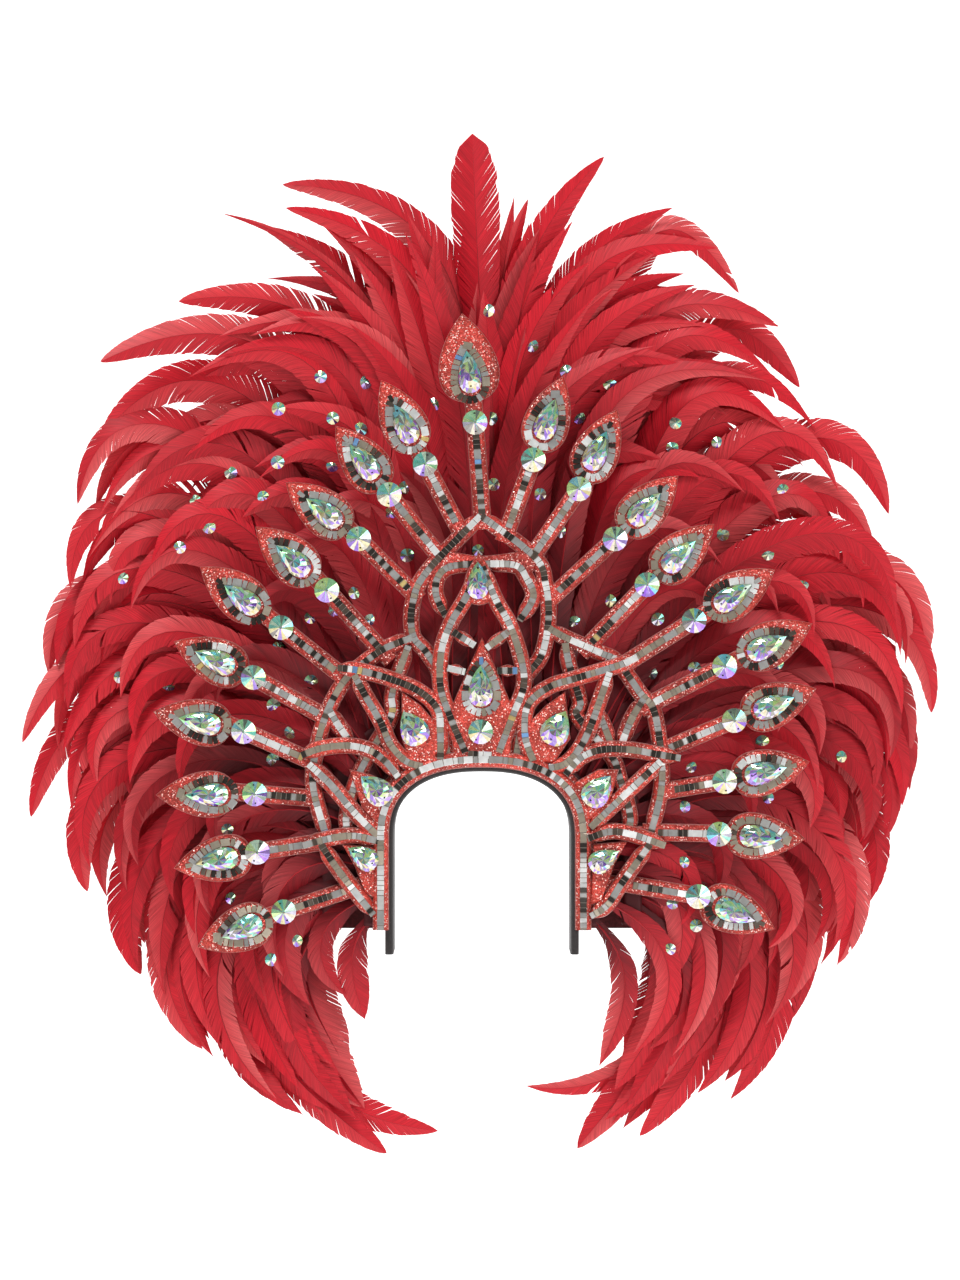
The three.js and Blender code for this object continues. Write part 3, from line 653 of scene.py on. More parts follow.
def tile(middle, across, size, front, tint, rng):
    """One mirror tile: its middle, the direction across it, its size along and across, and its plane."""
    along = np.array([across[1], -across[0]])
    tilt = rng.normal(0, TILE["tilt"], 2)
    corners = np.array([(-1, -1), (1, -1), (1, 1), (-1, 1)])
    rings = []
    for inset, high in ((0, 0), (0, TILE["thick"] - TILE["bevel"]), (TILE["bevel"], TILE["thick"])):
        offsets = corners * (np.array(size) / 2 - inset)
        points = middle + offsets[:, :1] * along + offsets[:, 1:] * across
        lean = (offsets * tilt).sum(1) * (high > 0)
        rings.append(stand(points, front - high - lean))
    return Part(np.vstack(rings), loft(rings), tint)


def painted_tile_reflections(rng):
    """An endless run of tile colours, which are painted reflections, where neighbours often match, and how
    many tile lengths each spans.
    """
    shares = [run["share"] for run in TILE_RUNS]
    while True:
        run = TILE_RUNS[rng.choice(len(TILE_RUNS), p=shares)]
        for _ in range(rng.integers(1, run["longest"] + 1)):
            name = run["tints"][rng.integers(len(run["tints"]))]
            # each tile's painted reflection, a little lighter or darker at random
            tint = np.array(TILE_PAINTED_REFLECTIONS[name]) * rng.uniform(*TILE_SHADES)
            spans = int(rng.choice([1, 2, 3], p=SPAN_SHARES)) if name in LONG_TINTS else 1
            yield tint, spans


def lay_tiles(path, form, front, rng):
    """Mirror tiles laid end to end along a path."""
    tints = painted_tile_reflections(rng)
    parts = []
    place = 0.0
    while place < path.length - form["along"] * TILE["least"]:
        tint, spans = next(tints)
        spans = min(spans, form["longest"])
        normals = path.at(np.array([place, place + form["along"] * spans]))[1]
        if normals[0] @ normals[1] < form["straight"]:
            spans = 1
        run = min(form["along"] * spans, path.length - place)
        middle, normal = path.at(place + run / 2)
        size = (run - TILE["joint"], form["across"] * rng.uniform(*form["vary"]))
        parts.append(tile(middle, normal, size, front, tint, rng))
        place += run
    return parts


def tile_strip(path, front, rng):
    """A row of mirror tiles on the bed that shows in their joints."""
    bed = band(path, TILE_BED["width"], front, TILE_BED["height"], SOFT_SECTION)
    bed.colour = np.broadcast_to(SEAM_GREY, bed.vertices.shape)
    return [bed, *lay_tiles(path, BAND_TILE, front, rng)]


def tile_ring(outline, front, rng):
    """Mirror tiles set side by side round a leaf's crystal, pointing at its middle."""
    path = Path(np.vstack([outline, outline[:1]]))
    pitch = path.length / round(path.length / RING_TILE["along"])
    return lay_tiles(path, {**RING_TILE, "along": pitch}, front, rng)


def facet_colours(points, middle, reach, rng):
    """A colour for each facet of a coated crystal, as a painted reflection: mostly greens above its middle
    and violets below it.
    """
    colours = []
    for height in (points[:, 1] - middle[1]) / reach:
        # painted reflection: greens are likelier higher on the stone, violets lower
        palette = CRYSTAL_REFLECTIONS_ABOVE if rng.random() < UPPER_SHARE + UPPER_RISE * height else CRYSTAL_REFLECTIONS_BELOW
        pick = palette[rng.integers(len(palette))]
        colours.append(mixed(pick, CRYSTAL_PALE, rng.uniform(0, MOST_PALE)))
    return np.array(colours)


def faceted(rings, middle, reach, rng):
    """A stone of flat triangles between rings, each in its own colour of painted reflection. The last ring
    is its table.
    """
    triangles = []
    for low, high in zip(rings, rings[1:]):
        for i in range(len(low)):
            j = (i + 1) % len(low)
            triangles.append((low[i], low[j], high[i]))
            triangles.append((low[j], high[j], high[i]))
    top = rings[-1]
    for i in range(len(top)):
        triangles.append((top[i], top[(i + 1) % len(top)], top.mean(0)))
    triangles = np.array(triangles)
    centres = triangles.mean(1)[:, [0, 2]]
    colours = np.repeat(facet_colours(centres, middle, reach, rng), 3, 0)
    faces = np.arange(len(triangles) * 3).reshape(-1, 3).tolist()
    return Part(triangles, faces, colours)


def hole(middle, depth):
    """The small dark sewing hole of a stone, as a disc just in front of it."""
    angles = np.linspace(0, 2 * math.pi, HOLE_SIDES, endpoint=False)
    ring = middle + HOLE_RADIUS * np.stack([np.cos(angles), np.sin(angles)], -1)
    return Part(stand(ring, depth), [range(HOLE_SIDES)], HOLE_DARK)


def drop_stone(middle, turn, form, back, rng):
    """A pear-shaped cut crystal with its two sewing holes."""
    outline = leaf_outline(middle, turn, form, DROP_SEGMENTS)
    halfway = (outline + np.roll(outline, -1, 0)) / 2
    rings = [stand(middle + ((halfway if turned else outline) - middle) * share, back - height)
             for share, height, turned in DROP_RINGS]
    axis = heading(turn)
    holes = [hole(middle + axis * form["length"] * share, back - DROP_HOLE_HEIGHT) for share in DROP_HOLES]
    return [faceted(rings, middle, form["length"] / 2, rng), *holes]


def round_stone(middle, form, back, rng):
    """A round crystal cut as a low cone of facets."""
    radius, height = form["radius"], form["height"]
    angles = np.linspace(0, 2 * math.pi, form["sides"], endpoint=False) + rng.uniform(0, 1)
    circle = np.stack([np.cos(angles), np.sin(angles)], -1)
    rings = [stand(middle + radius * reach * circle, back - height * high) for reach, high in ROUND_RINGS]
    stone = faceted(rings, middle, radius, rng)
    if not form["holes"]:
        return [stone]
    reach, high = ROUND_HOLES
    axis = heading(rng.uniform(-HOLE_TURN, HOLE_TURN)) * radius * reach
    return [stone, hole(middle + axis, back - height * high), hole(middle - axis, back - height * high)]


class Finish:
    """A material made of nodes round its principled shader."""

    def __init__(self, name):
        self.material = bpy.data.materials.new(name)
        self.material.use_nodes = True
        self.tree = self.material.node_tree

    def fill(self, node, inputs):
        """Links each named input to another node's output, or sets its own number, colour or vector."""
        for name, value in inputs.items():
            if isinstance(value, bpy.types.NodeSocket):
                self.tree.links.new(value, node.inputs[name])
            else:
                node.inputs[name].default_value = value

    def node(self, kind, inputs=None, **settings):
        """The outputs of a new node."""
        node = self.tree.nodes.new("ShaderNode" + kind)
        for name, value in settings.items():
            setattr(node, name, value)
        self.fill(node, inputs or {})
        return node.outputs

    def shade(self, inputs):
        """Fills the shader's inputs, and gives the finished material."""
        self.fill(self.tree.nodes["Principled BSDF"], inputs)
        return self.material

    def tint(self):
        return self.node("Attribute", attribute_name="tint")

    def noise(self, scale, detail=2.0, vector=None):
        """Noise over the object, or over another vector."""
        vector = vector or self.node("TexCoord")["Object"]
        return self.node("TexNoise", {"Scale": scale, "Detail": detail, "Vector": vector})["Fac"]

    def ranged(self, value, low, high, start=0.3, end=0.7):
        """A value mapped from start and end to low and high."""
        inputs = {"Value": value, "From Min": start, "From Max": end, "To Min": low, "To Max": high}
        return self.node("MapRange", inputs)["Result"]

    def mix(self, factor, a, b, blend="MIX"):
        """Two colours mixed, where each is another node's output or red, green and blue."""
        a, b = ((*colour, 1) if isinstance(colour, tuple) else colour for colour in (a, b))
        inputs = {"Factor": factor, "A": a, "B": b}
        return self.node("Mix", inputs, data_type="RGBA", blend_type=blend)["Result"]

    def times(self, colour, value):
        return self.mix(1.0, colour, value, "MULTIPLY")

    def bump(self, height, strength, distance):
        return self.node("Bump", {"Height": height, "Strength": strength, "Distance": distance})["Normal"]


def feather_material():
    """Dyed feather: the colours given to each piece, with painted shade and a painted pink highlight,
    streaked along the barbs, with a soft sheen.
    """
    finish = Finish("dyed_feather")
    vane = finish.node("UVMap", uv_map="vane")["UV"]
    barbs = finish.node("Mapping", {"Vector": vane, "Scale": (1.5, 0.06, 1)})["Vector"]
    streaks = finish.noise(1.0, 3.0, barbs)
    return finish.shade({
        "Base Color": finish.times(finish.tint()["Color"], finish.ranged(streaks, 0.62, 1.3)),
        "Normal": finish.bump(streaks, 0.35, 0.0004),
        "Roughness": 0.5,
        "Specular IOR Level": 0.25,
        "Sheen Weight": 0.03,
        "Sheen Roughness": 0.4,
        "Sheen Tint": (1, 0.35, 0.35, 1),
    })


def glitter_material(name, base):
    """Foam with glued glitter: flakes in random directions, a few of them painted bright as painted glints,
    and a pale line along its outer edge.
    """
    finish = Finish(name)
    place = finish.node("TexCoord")["Object"]
    flakes = finish.node("TexVoronoi", {"Scale": 1300, "Vector": place})["Color"]
    split = finish.node("SeparateColor", {"Color": flakes})
    body = finish.times(base, finish.ranged(split["Green"], 0.55, 1.35, 0, 1))
    body = finish.times(body, finish.ranged(finish.noise(50), 0.6, 1.12, 0.35, 0.65))
    # painted glints: a few flakes bright red or near white
    painted_glint = finish.mix(split["Blue"], PAINTED_GLINT_RED, PAINTED_GLINT_PALE)
    body = finish.mix(finish.ranged(split["Red"], 0, 1, 0.9, 0.94), body, painted_glint)
    lean = finish.node("VectorMath", {0: flakes, 1: (0.9, 0.9, 0.9), 2: (-0.45, -0.45, -0.45)},
                       operation="MULTIPLY_ADD")["Vector"]
    normal = finish.node("NewGeometry")["Normal"]
    tipped = finish.node("VectorMath", {0: normal, 1: lean}, operation="ADD")["Vector"]
    return finish.shade({
        "Base Color": finish.mix(finish.tint()["Fac"], body, EDGE_PALE),
        "Normal": finish.node("VectorMath", {0: tipped}, operation="NORMALIZE")["Vector"],
        "Metallic": 0.35,
        "Roughness": 0.32,
    })


def mirror_material():
    """Mirror glass in the colour given to each tile, which is a painted reflection, faintly streaked."""
    finish = Finish("mirror_tile")
    streaks = finish.ranged(finish.noise(220), 0.85, 1.08)
    return finish.shade({
        "Base Color": finish.times(finish.tint()["Color"], streaks),
        "Metallic": 0.55,
        "Roughness": 0.12,
    })


def crystal_material():
    """Foiled crystal with a rainbow coat: facets coloured with painted reflections under a clear glossy
    skin.
    """
    finish = Finish("coated_crystal")
    clouds = finish.ranged(finish.noise(420), 0.75, 1.15)
    return finish.shade({
        "Base Color": finish.times(finish.tint()["Color"], clouds),
        "Metallic": 0.75,
        "Roughness": 0.1,
        "Coat Weight": 0.8,
        "Coat Roughness": 0.03,
    })


def cloth_material(name, base, rough, weave):
    """Plain cloth or felt: fibres in its colour and in its surface."""
    finish = Finish(name)
    fibres = finish.noise(weave, 4.0)
    return finish.shade({
        "Base Color": finish.times(base, finish.ranged(fibres, 0.6, 1.4)),
        "Normal": finish.bump(fibres, 0.5, 0.0005),
        "Roughness": rough,
        "Sheen Weight": 0.3,
    })


def backdrop_material():
    """The studio's pale floor, which glows a little so that it stays pale."""
    finish = Finish("pale_backdrop")
    return finish.shade({
        "Base Color": finish.times((0.95, 0.95, 0.95), finish.ranged(finish.noise(3), 0.98, 1.0, 0, 1)),
        "Roughness": 0.9,
        "Emission Color": (1, 1, 1, 1),
        "Emission Strength": 0.55,
    })


def open_share(x, z):
    """How far outside the root strips a point lies: 0 on them, 1 well out in the open fan."""
    across = np.abs(x) / (HEAD_HALF_WIDTH + OUTER_ROOTS)
    above = np.maximum(z + CROWN_HEIGHT, 0) / (CROWN_HEIGHT + OUTER_ROOTS)
    power = 2 / ARCH_POWER
    return smooth(((across**power + above**power) ** (1 / power) - OPEN_FROM) / OPEN_OVER)


def fan_reach(x, z):
    """How far out in the fan a point lies, from 0 at its centre to 1 at its outline."""
    height = z - FAN["centre_z"]
    return np.hypot(x / FAN["side"], height / np.where(height > 0, FAN["top"], FAN["low"]))


def row_depth(row, x, z):
    """Depth of a feather row's surface: it sweeps back behind the sheets and curls forward at the tips."""
    reach = fan_reach(x, z)
    out = open_share(x, z)
    back = FAN["back"] * out * np.sin(np.pi * np.minimum(reach, 1))
    forward = FAN["curl"] * np.minimum(reach, CURL_REACH) ** CURL_POWER
    return ROW_FRONT + (row - 1) * (ROW_PITCH + ROW_SPREAD * out) + FEATHER_SINK + (back - forward)


def fan_line(station):
    """First heading, tip and last heading of the fan at a station, between the rows of its table."""
    side = math.copysign(1, station)
    stations = [row["station"] for row in FAN_LINES]
    columns = zip(*((row["start"], *row["tip"], row["end"]) for row in FAN_LINES))
    start, x, z, end = (np.interp(abs(station), stations, column) for column in columns)
    return side * start, np.array([side * x, z]), side * end


def root_offset(row):
    """How far outside the arch a row's root strip stands."""
    return INNER_ROOTS if row == 1 else OUTER_ROOTS


def root_point(row, station):
    """Where the feathers of a row are sewn at a station of the fan. Roots crowd towards the arch's crown."""
    crowded = station * (1 - CROWDING * (1 - float(smooth(abs(station) / CROWDED_TO))))
    return arch_point(root_offset(row) + ROOT_STRIP / 2 - ROOT_BITE, crowded)


def vane_share(t, roundness, paddle):
    """Half width of a feather as a share of its greatest, along its length."""
    if paddle:
        return np.interp(t, *zip(*PADDLE))
    body = VANE["foot"] + (1 - VANE["foot"]) * smooth(t / VANE["widens"])
    past = np.clip((t - VANE["narrows"]) / (1 - VANE["narrows"]), 0, 1)
    return body * (1 - past**2) ** roundness


def feather_path(root, start, tip, end):
    """The curve of a feather between its headings. It swings wider as it turns further."""
    turn = abs(end - start) % 360
    wide = float(smooth((min(turn, 360 - turn) - WIDE_SWING["from"]) / WIDE_SWING["over"]))
    swing = np.linalg.norm(tip - root) * (1 + WIDE_SWING["share"] * wide)
    first = root + heading(math.radians(start)) * swing * START_HANDLE
    last = tip - heading(math.radians(end)) * swing * END_HANDLE
    return Path(bezier(root, first, last, tip, CURVE_POINTS))


def feather(row, root, start, tip, end, width, rng, paddle=False, lift=0.0, blunt=False):
    """One feather along a curve from its root to its tip: clumps of barbs on both sides of a quill."""
    path = feather_path(root, start, tip, end)
    roundness = rng.uniform(*(BLUNT_TIP if blunt else FINE_TIP))
    roll = rng.normal(0, ROLL_SPREAD)
    ripple, phase = rng.uniform(*RIPPLE_HEIGHT), rng.uniform(0, 6)
    bright = rng.normal(0, TONE_AND_PAINTED_SHADE["feathers"])
    lit_side = 1 if rng.random() < 0.5 else -1
    # how strong this feather's painted pink highlight is
    highlight_strength = rng.uniform(0.0, 1.0) ** PAINTED_HIGHLIGHT["power"]
    splits = SPLITS["worn"] if rng.random() < WORN_SHARE else SPLITS["fresh"]

    def half_width(distance):
        return width / 2 * vane_share(distance / path.length, roundness, paddle)

    def depth(points, distance, offset):
        wave = ripple * np.sin(distance / path.length * RIPPLE_TURNS + phase)
        fold = VANE_FOLD * np.abs(offset)
        deep = row_depth(row, points[..., 0], points[..., 1]) + lift + fold + roll * offset + wave
        return np.minimum(deep, DEEPEST + PAST_DEEPEST * (deep - DEEPEST))

    first = np.arange(0, path.length, CLUMP_PITCH)
    count = len(first)
    edges = np.minimum(np.stack([first, first + CLUMP_PITCH * CLUMP_OVERLAP], 1), path.length)
    roots = np.maximum(edges - BARB_LEAN * half_width(edges), 0)
    distance = roots[..., None] + (edges - roots)[..., None] * BARB_ACROSS
    middle, normal = path.at(distance)
    corner = np.arange(count)[:, None, None] * 2 * len(BARB_ACROSS)
    quads = np.array([[k, k + 1, k + 5, k + 4] for k in range(3)])
    parts = []
    for side in (-1, 1):
        ragged = rng.normal(1, RAGGED, count)
        split = rng.random(count) < splits
        ragged = np.where(split, rng.uniform(*SPLIT_BACK, count), ragged)
        saw = rng.uniform(0, SAW["least"] + splits, count) + np.where(split, SPLIT_SAW, 0)
        wide = half_width(edges) * np.stack([ragged - saw, ragged + saw * SAW["front"]], 1)
        offset = side * wide[..., None] * BARB_ACROSS
        points = middle + normal * offset[..., None]
        stir = rng.normal(0, STIR, count)[:, None, None] * BARB_ACROSS
        vertices = stand(points, depth(middle, distance, offset) + stir)
        tone = bright + rng.normal(0, TONE_AND_PAINTED_SHADE["barbs"], count)[:, None, None]
        # painted highlight: the lit vane half turns pink, more towards its edge; the other half only a
        # little
        lit = 1.0 if side == lit_side else PAINTED_HIGHLIGHT["unlit"]
        highlight_share = highlight_strength * (PAINTED_HIGHLIGHT["quill"] + (1 - PAINTED_HIGHLIGHT["quill"]) * BARB_ACROSS) * lit
        colour = vane_colour(points, distance / path.length, tone, highlight_share)
        vane = np.stack([np.broadcast_to(roots[..., None], offset.shape), offset], -1)
        faces = (corner + quads[:, ::side]).reshape(-1, 4).tolist()
        parts.append(Part(vertices, faces, colour.reshape(-1, 3), vane))
    parts.append(quill(path, depth, rng))
    return parts


def vane_colour(points, along, tone, highlight_share):
    """Deep red at the root and inside the fan and brighter outwards, which is painted shade over the random
    tone, and pink as a painted highlight where the vane catches light.
    """
    # painted shade: the tone rises along the feather and outwards in the fan
    out = (fan_reach(points[..., 0], points[..., 1]) - TONE_AND_PAINTED_SHADE["out_from"]) / TONE_AND_PAINTED_SHADE["out_over"]
    tone = tone + TONE_AND_PAINTED_SHADE["along"] * smooth(along / TONE_AND_PAINTED_SHADE["along_over"]) + TONE_AND_PAINTED_SHADE["out"] * smooth(out)
    base = mixed(RED_DEEP, RED_MAIN, np.clip(tone, 0, TONE_AND_PAINTED_SHADE["most"]))
    # the painted highlight grows along the feather, away from its root
    highlight_share = highlight_share * smooth((along - PAINTED_HIGHLIGHT["from"]) / PAINTED_HIGHLIGHT["over"])
    return mixed(base, PAINTED_HIGHLIGHT_PINK, np.clip(highlight_share, 0, 1) * PAINTED_HIGHLIGHT["most"])


def quill(path, depth, rng):
    """The tapered quill of a feather, as a three-sided rod along its path."""
    stations = path.spaced(QUILL_STEP)[:-1]
    middle, normal = path.at(stations)
    radius = QUILL_RADIUS * (QUILL_THICKER - stations / path.length)
    rings = []
    for sideways, forward in QUILL_CORNERS:
        points = middle + normal * (sideways * radius)[:, None]
        rings.append(stand(points, depth(middle, stations, 0) + forward * radius))
    vertices = np.stack(rings, 1)
    return Part(vertices, loft(vertices), np.array(QUILL_RED) * rng.uniform(*QUILL_SHADES))


def front_bunch(form, sector, rng):
    """The feathers of one bunch of a front row, spread over its stations with a hand's unevenness."""
    span = (sector["to"] - sector["from"]) / form["count"]
    parts = []
    for i in range(form["count"]):
        uneven = rng.uniform(-FRONT_VARIETY["station"], FRONT_VARIETY["station"])
        station = sector["from"] + span * (i + 0.5 + uneven)
        start, far, end = fan_line(station)
        root = root_point(form["row"], station)
        share = form["reach"] * rng.uniform(*FRONT_VARIETY["share"])
        share += (LONGEST_SHARE - share) * rng.random() ** 3
        side = float(smooth((abs(station) - SIDE_NARROWING["from"]) / SIDE_NARROWING["over"]))
        width = form["width"] * rng.uniform(*FRONT_VARIETY["width"]) * (1 - SIDE_NARROWING["by"] * side)
        start += rng.normal(0, FRONT_TURNS[0])
        end += rng.normal(0, FRONT_TURNS[1])
        parts += feather(form["row"], root, start, root + (far - root) * share, end, width, rng,
                         lift=rng.uniform(*FRONT_VARIETY["lift"]))
    return parts


def long_bunch(row, sector, rng):
    """The long feathers of one bunch, and shorter ones that fill the fan between them."""
    feathers = LONG_FEATHERS[sector["name"]]
    parts = []
    for i, item in enumerate(feathers):
        if item["row"] != row:
            continue
        station = sector["from"] + (sector["to"] - sector["from"]) * (i + 0.5) / len(feathers)
        paddle = item.get("paddle", False)
        width = item["width"] * (1 if paddle else LONG_GROWTH)
        parts += feather(row, root_point(row, station), fan_line(station)[0], np.array(item["tip"], float),
                         item["end"], width, rng, paddle, blunt=True)
        for k in range(FILLERS_PER_LONG):
            near = station + rng.uniform(-FILLER["near"], FILLER["near"])
            start, far, end = fan_line(near)
            root = root_point(row, near)
            share = FILLER["from"] + (1 - FILLER["from"]) * (k + rng.random()) / FILLERS_PER_LONG
            start += rng.normal(0, FILLER_TURNS[0])
            end += rng.normal(0, FILLER_TURNS[1])
            width = rng.uniform(*FILLER["width"])
            parts += feather(row, root, start, root + (far - root) * share, end, width, rng,
                             lift=rng.uniform(*FILLER["lift"]))
    return parts


def add_plumes(material):
    """Each bunch of each row replaces its node: a root strip with its feathers."""
    pieces = []
    for row in range(1, ROWS + 1):
        rear = ROW_FRONT + (row - 1) * ROW_PITCH + STRIP_THICK
        for index, sector in enumerate(SECTORS):
            rng = np.random.default_rng(SEED + row * 10 + index)
            if row <= len(FRONT_ROWS):
                parts = front_bunch(FRONT_ROWS[row - 1], sector, rng)
            else:
                parts = long_bunch(row, sector, rng)
            path = arch_path(root_offset(row), sector["from"], sector["to"])
            strip = band(path, ROOT_STRIP, rear, STRIP_THICK, SOFT_SECTION)
            strip.colour = np.broadcast_to(np.array(RED_DEEP) * STRIP_SHADE, strip.vertices.shape)
            node = f"plume_row_{row}_{sector['name']}"
            pieces.append(add_piece(f"feathers_{node}", [strip, *parts], material, True, [node]))
    return pieces


def sheet_bands(bands, back, rng):
    """Foam and mirror tiles of a sheet's bands. Each band lies a hair above the last."""
    foam, tiles = [], []
    for k, item in enumerate(bands):
        path = spline(item["points"])
        lift = LIFT["band"] * k
        width = item.get("width", BAND_WIDTH)
        foam.append(band(path, width, back, SHEET + lift, pointed=BAND_END["pointed"]))
        if not item.get("bare"):
            tiles += tile_strip(path, back - SHEET - lift, rng)
    return foam, tiles


def ray(item, rng):
    """One ray of the rear sheet: foam of its stem and leaf, mirror tiles, round stone, and crystal."""
    foot, stone, tip = (np.array(item[key], float) for key in ("foot", "stone", "tip"))
    turn = math.atan2(*(tip - stone))
    front = HALO_BACK - SHEET
    stem = spline([towards(foot, stone, -STEM_ROOT), towards(stone, foot, -STEM_NECK)])
    form = TOP_LEAF if item.get("top") else LEAF
    outline = leaf_outline(towards(tip, stone, LEAF["length"] / 2), turn, form, LEAF_SEGMENTS)
    foam = [band(stem, STEM_WIDTH, HALO_BACK, SHEET), domed_sheet(outline, HALO_BACK, SHEET + LIFT["leaf"])]
    tiles = tile_strip(spline([foot, stone]), front, rng)
    seat = tip + (stone - tip) * LEAF_SEAT
    tiles += tile_ring(leaf_outline(seat, turn, LEAF_RING, RING_SEGMENTS), front - LIFT["leaf"], rng)
    round_parts = round_stone(stone, ROUND_STONE, front - LIFT["round_stone"], rng)
    return foam, tiles, round_parts, drop_stone(seat, turn, DROP, front - STRIP_RISE - SEAT_GAP, rng)


def add_halo(glitter, mirror, crystal):
    """The rear sheet with its rays, tiles and stones."""
    rng = np.random.default_rng(SEED + 1)
    rim = arch_path(HALO_RIM["offset"], -HALO_RIM["end"], HALO_RIM["end"])
    foam, tiles = sheet_bands(HALO_BANDS, HALO_BACK, rng)
    foam.insert(0, band(rim, BAND_WIDTH, HALO_BACK, SHEET))
    rounds = []
    for number, item in enumerate(RAYS, 1):
        ray_foam, ray_tiles, round_parts, drop = ray(item, rng)
        foam += ray_foam
        tiles += ray_tiles
        rounds += round_parts
        node = f"ray_stone_{number:02d}"
        add_piece(f"ray_crystal_{number:02d}", drop, crystal, replaces=[node])
    add_piece("rear_sheet_foam", foam, glitter, replaces=["halo_plate"])
    add_piece("rear_sheet_tiles", tiles, mirror)
    add_piece("rear_sheet_round_stones", rounds, crystal)


def add_lotus(glitter, mirror, crystal):
    """The front sheet with its petals, tiles and stones."""
    rng = np.random.default_rng(SEED + 2)
    front = LOTUS_BACK - SHEET
    rim = arch_path(LOTUS_RIM["offset"], -LOTUS_RIM["end"], LOTUS_RIM["end"])
    foam, tiles = sheet_bands(LOTUS_BANDS, LOTUS_BACK, rng)
    foam.append(band(rim, BAND_WIDTH, LOTUS_BACK, SHEET + LIFT["rim"]))
    tiles += tile_strip(rim, front - LIFT["rim"], rng)
    foam += [domed_sheet(np.array(points, float), LOTUS_BACK, SHEET + LIFT["web"]) for points in LOTUS_WEBS]
    foam.append(domed_sheet(leaf_outline(CREST["at"], 0, CREST, CREST_SEGMENTS), LOTUS_BACK, SHEET))
    tiles += tile_ring(leaf_outline(CENTRE_RING["at"], 0, CENTRE_RING, RING_SEGMENTS), front, rng)
    add_piece("front_sheet_foam", foam, glitter, replaces=["lotus_plate"])
    add_piece("front_sheet_tiles", tiles, mirror)
    for number, item in enumerate(CROWN_STONES, 1):
        bed = front - (STRIP_RISE if item.get("over_strip") else 0) - SEAT_GAP
        if "length" in item:
            stone = drop_stone(item["at"], math.radians(item["turn"]), item, bed, rng)
        else:
            stone = round_stone(item["at"], ROUND_STONE, bed, rng)
        node = f"crown_stone_{number:02d}"
        add_piece(f"crown_crystal_{number:02d}", stone, crystal, replaces=[node])


def add_arch(padding):
    """The padded arch round the head."""
    path = arch_path(ARCH_WALL / 2, -ARCH_END, ARCH_END)
    arch = band(path, ARCH_WALL, ARCH_REAR, ARCH_REAR - ARCH_FRONT, SOFT_SECTION)
    piece = add_piece("padded_arch", [arch], padding, True, ["head_arch"])


def add_backing(felt):
    """The felt-covered board behind the feather roots."""
    inner = ARCH_WALL + SEAT_GAP
    rear = ROW_FRONT + ROWS * ROW_PITCH + BACKING["thick"]
    path = arch_path((inner + BACKING["reach"]) / 2, -BACKING["end"], BACKING["end"])
    board = band(path, BACKING["reach"] - inner, rear, BACKING["thick"], SOFT_SECTION)
    add_piece("felt_backing", [board], felt, replaces=["backing"])


def add_small_stones(carriers, crystal):
    """The small round stones, each set on whatever feather lies behind its place in the photograph."""
    rng = np.random.default_rng(SEED + 3)
    trees = [BVHTree.FromObject(piece, bpy.context.evaluated_depsgraph_get()) for piece in carriers]
    parts = []
    for column, line in SMALL_STONE_PIXELS:
        place = np.array([(column - APEX_PIXEL[0]) * PIXEL, (APEX_PIXEL[1] - line) * PIXEL])
        eye = Vector((place[0] * MM, -0.1, place[1] * MM))
        hits = [tree.ray_cast(eye, Vector((0, 1, 0)))[0] for tree in trees]
        depths = [hit.y / MM for hit in hits if hit is not None]
        if depths:
            form = {**SMALL_STONE, "radius": SMALL_STONE["radius"] * rng.uniform(*SMALL_STONE_SIZES)}
            parts += round_stone(place, form, min(depths) + SMALL_STONE_SINK, rng)
    add_piece("small_stones", parts, crystal)


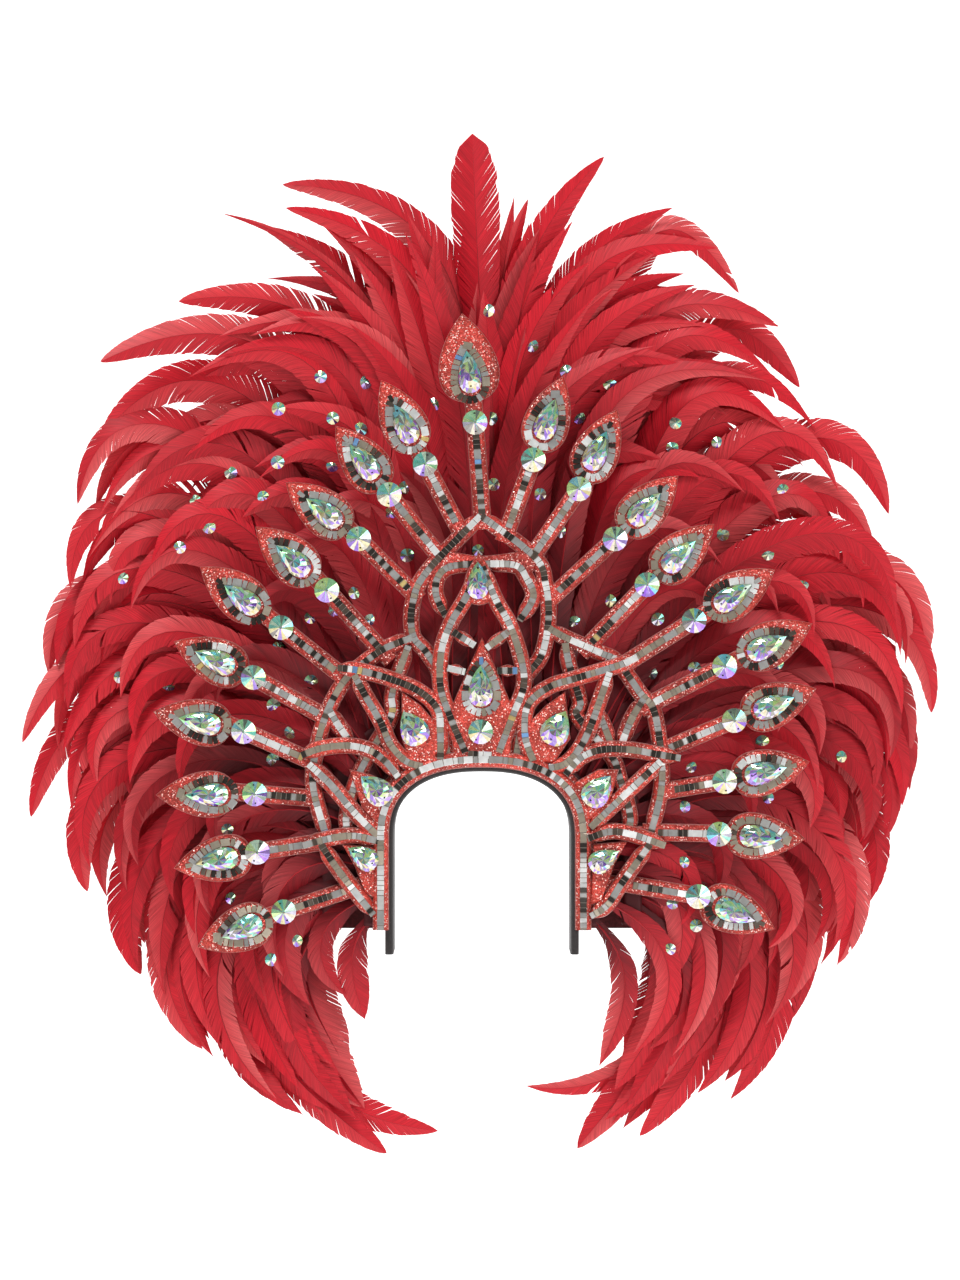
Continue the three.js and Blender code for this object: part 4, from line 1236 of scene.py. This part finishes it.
def add_backdrop():
    """A pale floor that sweeps up into a wall behind the headdress."""
    bend, back, floor = BACKDROP["bend"], BACKDROP["back"], BACKDROP["floor"]
    profile = [(BACKDROP["front"], floor)]
    for k in range(BACKDROP_STEPS + 1):
        angle = k / BACKDROP_STEPS * math.pi / 2
        profile.append((back - bend + bend * math.sin(angle), floor + bend * (1 - math.cos(angle))))
    profile.append((back, BACKDROP["height"]))
    vertices = [(x, y, z) for y, z in profile for x in (-BACKDROP["half_width"], BACKDROP["half_width"])]
    faces = [(2 * k, 2 * k + 1, 2 * k + 3, 2 * k + 2) for k in range(len(profile) - 1)]
    mesh = bpy.data.meshes.new("backdrop")
    mesh.from_pydata(vertices, [], faces)
    mesh.polygons.foreach_set("use_smooth", [True] * len(faces))
    mesh.materials.append(backdrop_material())
    add_object("backdrop", mesh)


def add_lights():
    """The sky's soft light and the studio's lamps."""
    world = bpy.data.worlds.new("studio")
    bpy.context.scene.world = world
    world.use_nodes = True
    background = world.node_tree.nodes["Background"]
    background.inputs["Color"].default_value = (1, 1, 1, 1)
    background.inputs["Strength"].default_value = SKY
    for item in LAMPS:
        light = bpy.data.lights.new(item["name"], "AREA")
        light.size = item["size"]
        light.energy = item["power"]
        lamp = add_object(item["name"], light)
        lamp.location = item["place"]
        lamp.rotation_euler = (Vector(LAMP_TARGET) - lamp.location).to_track_quat("-Z", "Y").to_euler()


def add_camera():
    """The photograph's view: level, in front of the frame's centre."""
    camera = bpy.data.cameras.new("camera")
    camera.sensor_width = SENSOR
    camera.lens = SENSOR * CAMERA_DISTANCE / (FRAME_TALL * PIXEL)
    view = add_object("camera", camera)
    across = (FRAME_CENTRE[0] - APEX_PIXEL[0]) * PIXEL
    up = (APEX_PIXEL[1] - FRAME_CENTRE[1]) * PIXEL
    view.location = Vector((across, LOTUS_BACK - SHEET - CAMERA_DISTANCE, up)) * MM
    view.rotation_euler = (math.pi / 2, 0, 0)
    bpy.context.scene.camera = view
    bpy.context.scene.view_settings.view_transform = "Standard"


crystal = crystal_material()
mirror = mirror_material()
add_camera()
add_lights()
add_backdrop()
plumes = add_plumes(feather_material())
# the rear sheet's glitter is a darker copy of the front's, as painted shade
add_halo(glitter_material("rear_glitter", CORAL_PAINTED_SHADE), mirror, crystal)
add_lotus(glitter_material("front_glitter", CORAL), mirror, crystal)
add_arch(cloth_material("black_padding", PADDING_BLACK, 0.75, 900))
add_backing(cloth_material("dark_red_felt", FELT_RED, 0.95, 500))
add_small_stones(plumes, crystal)
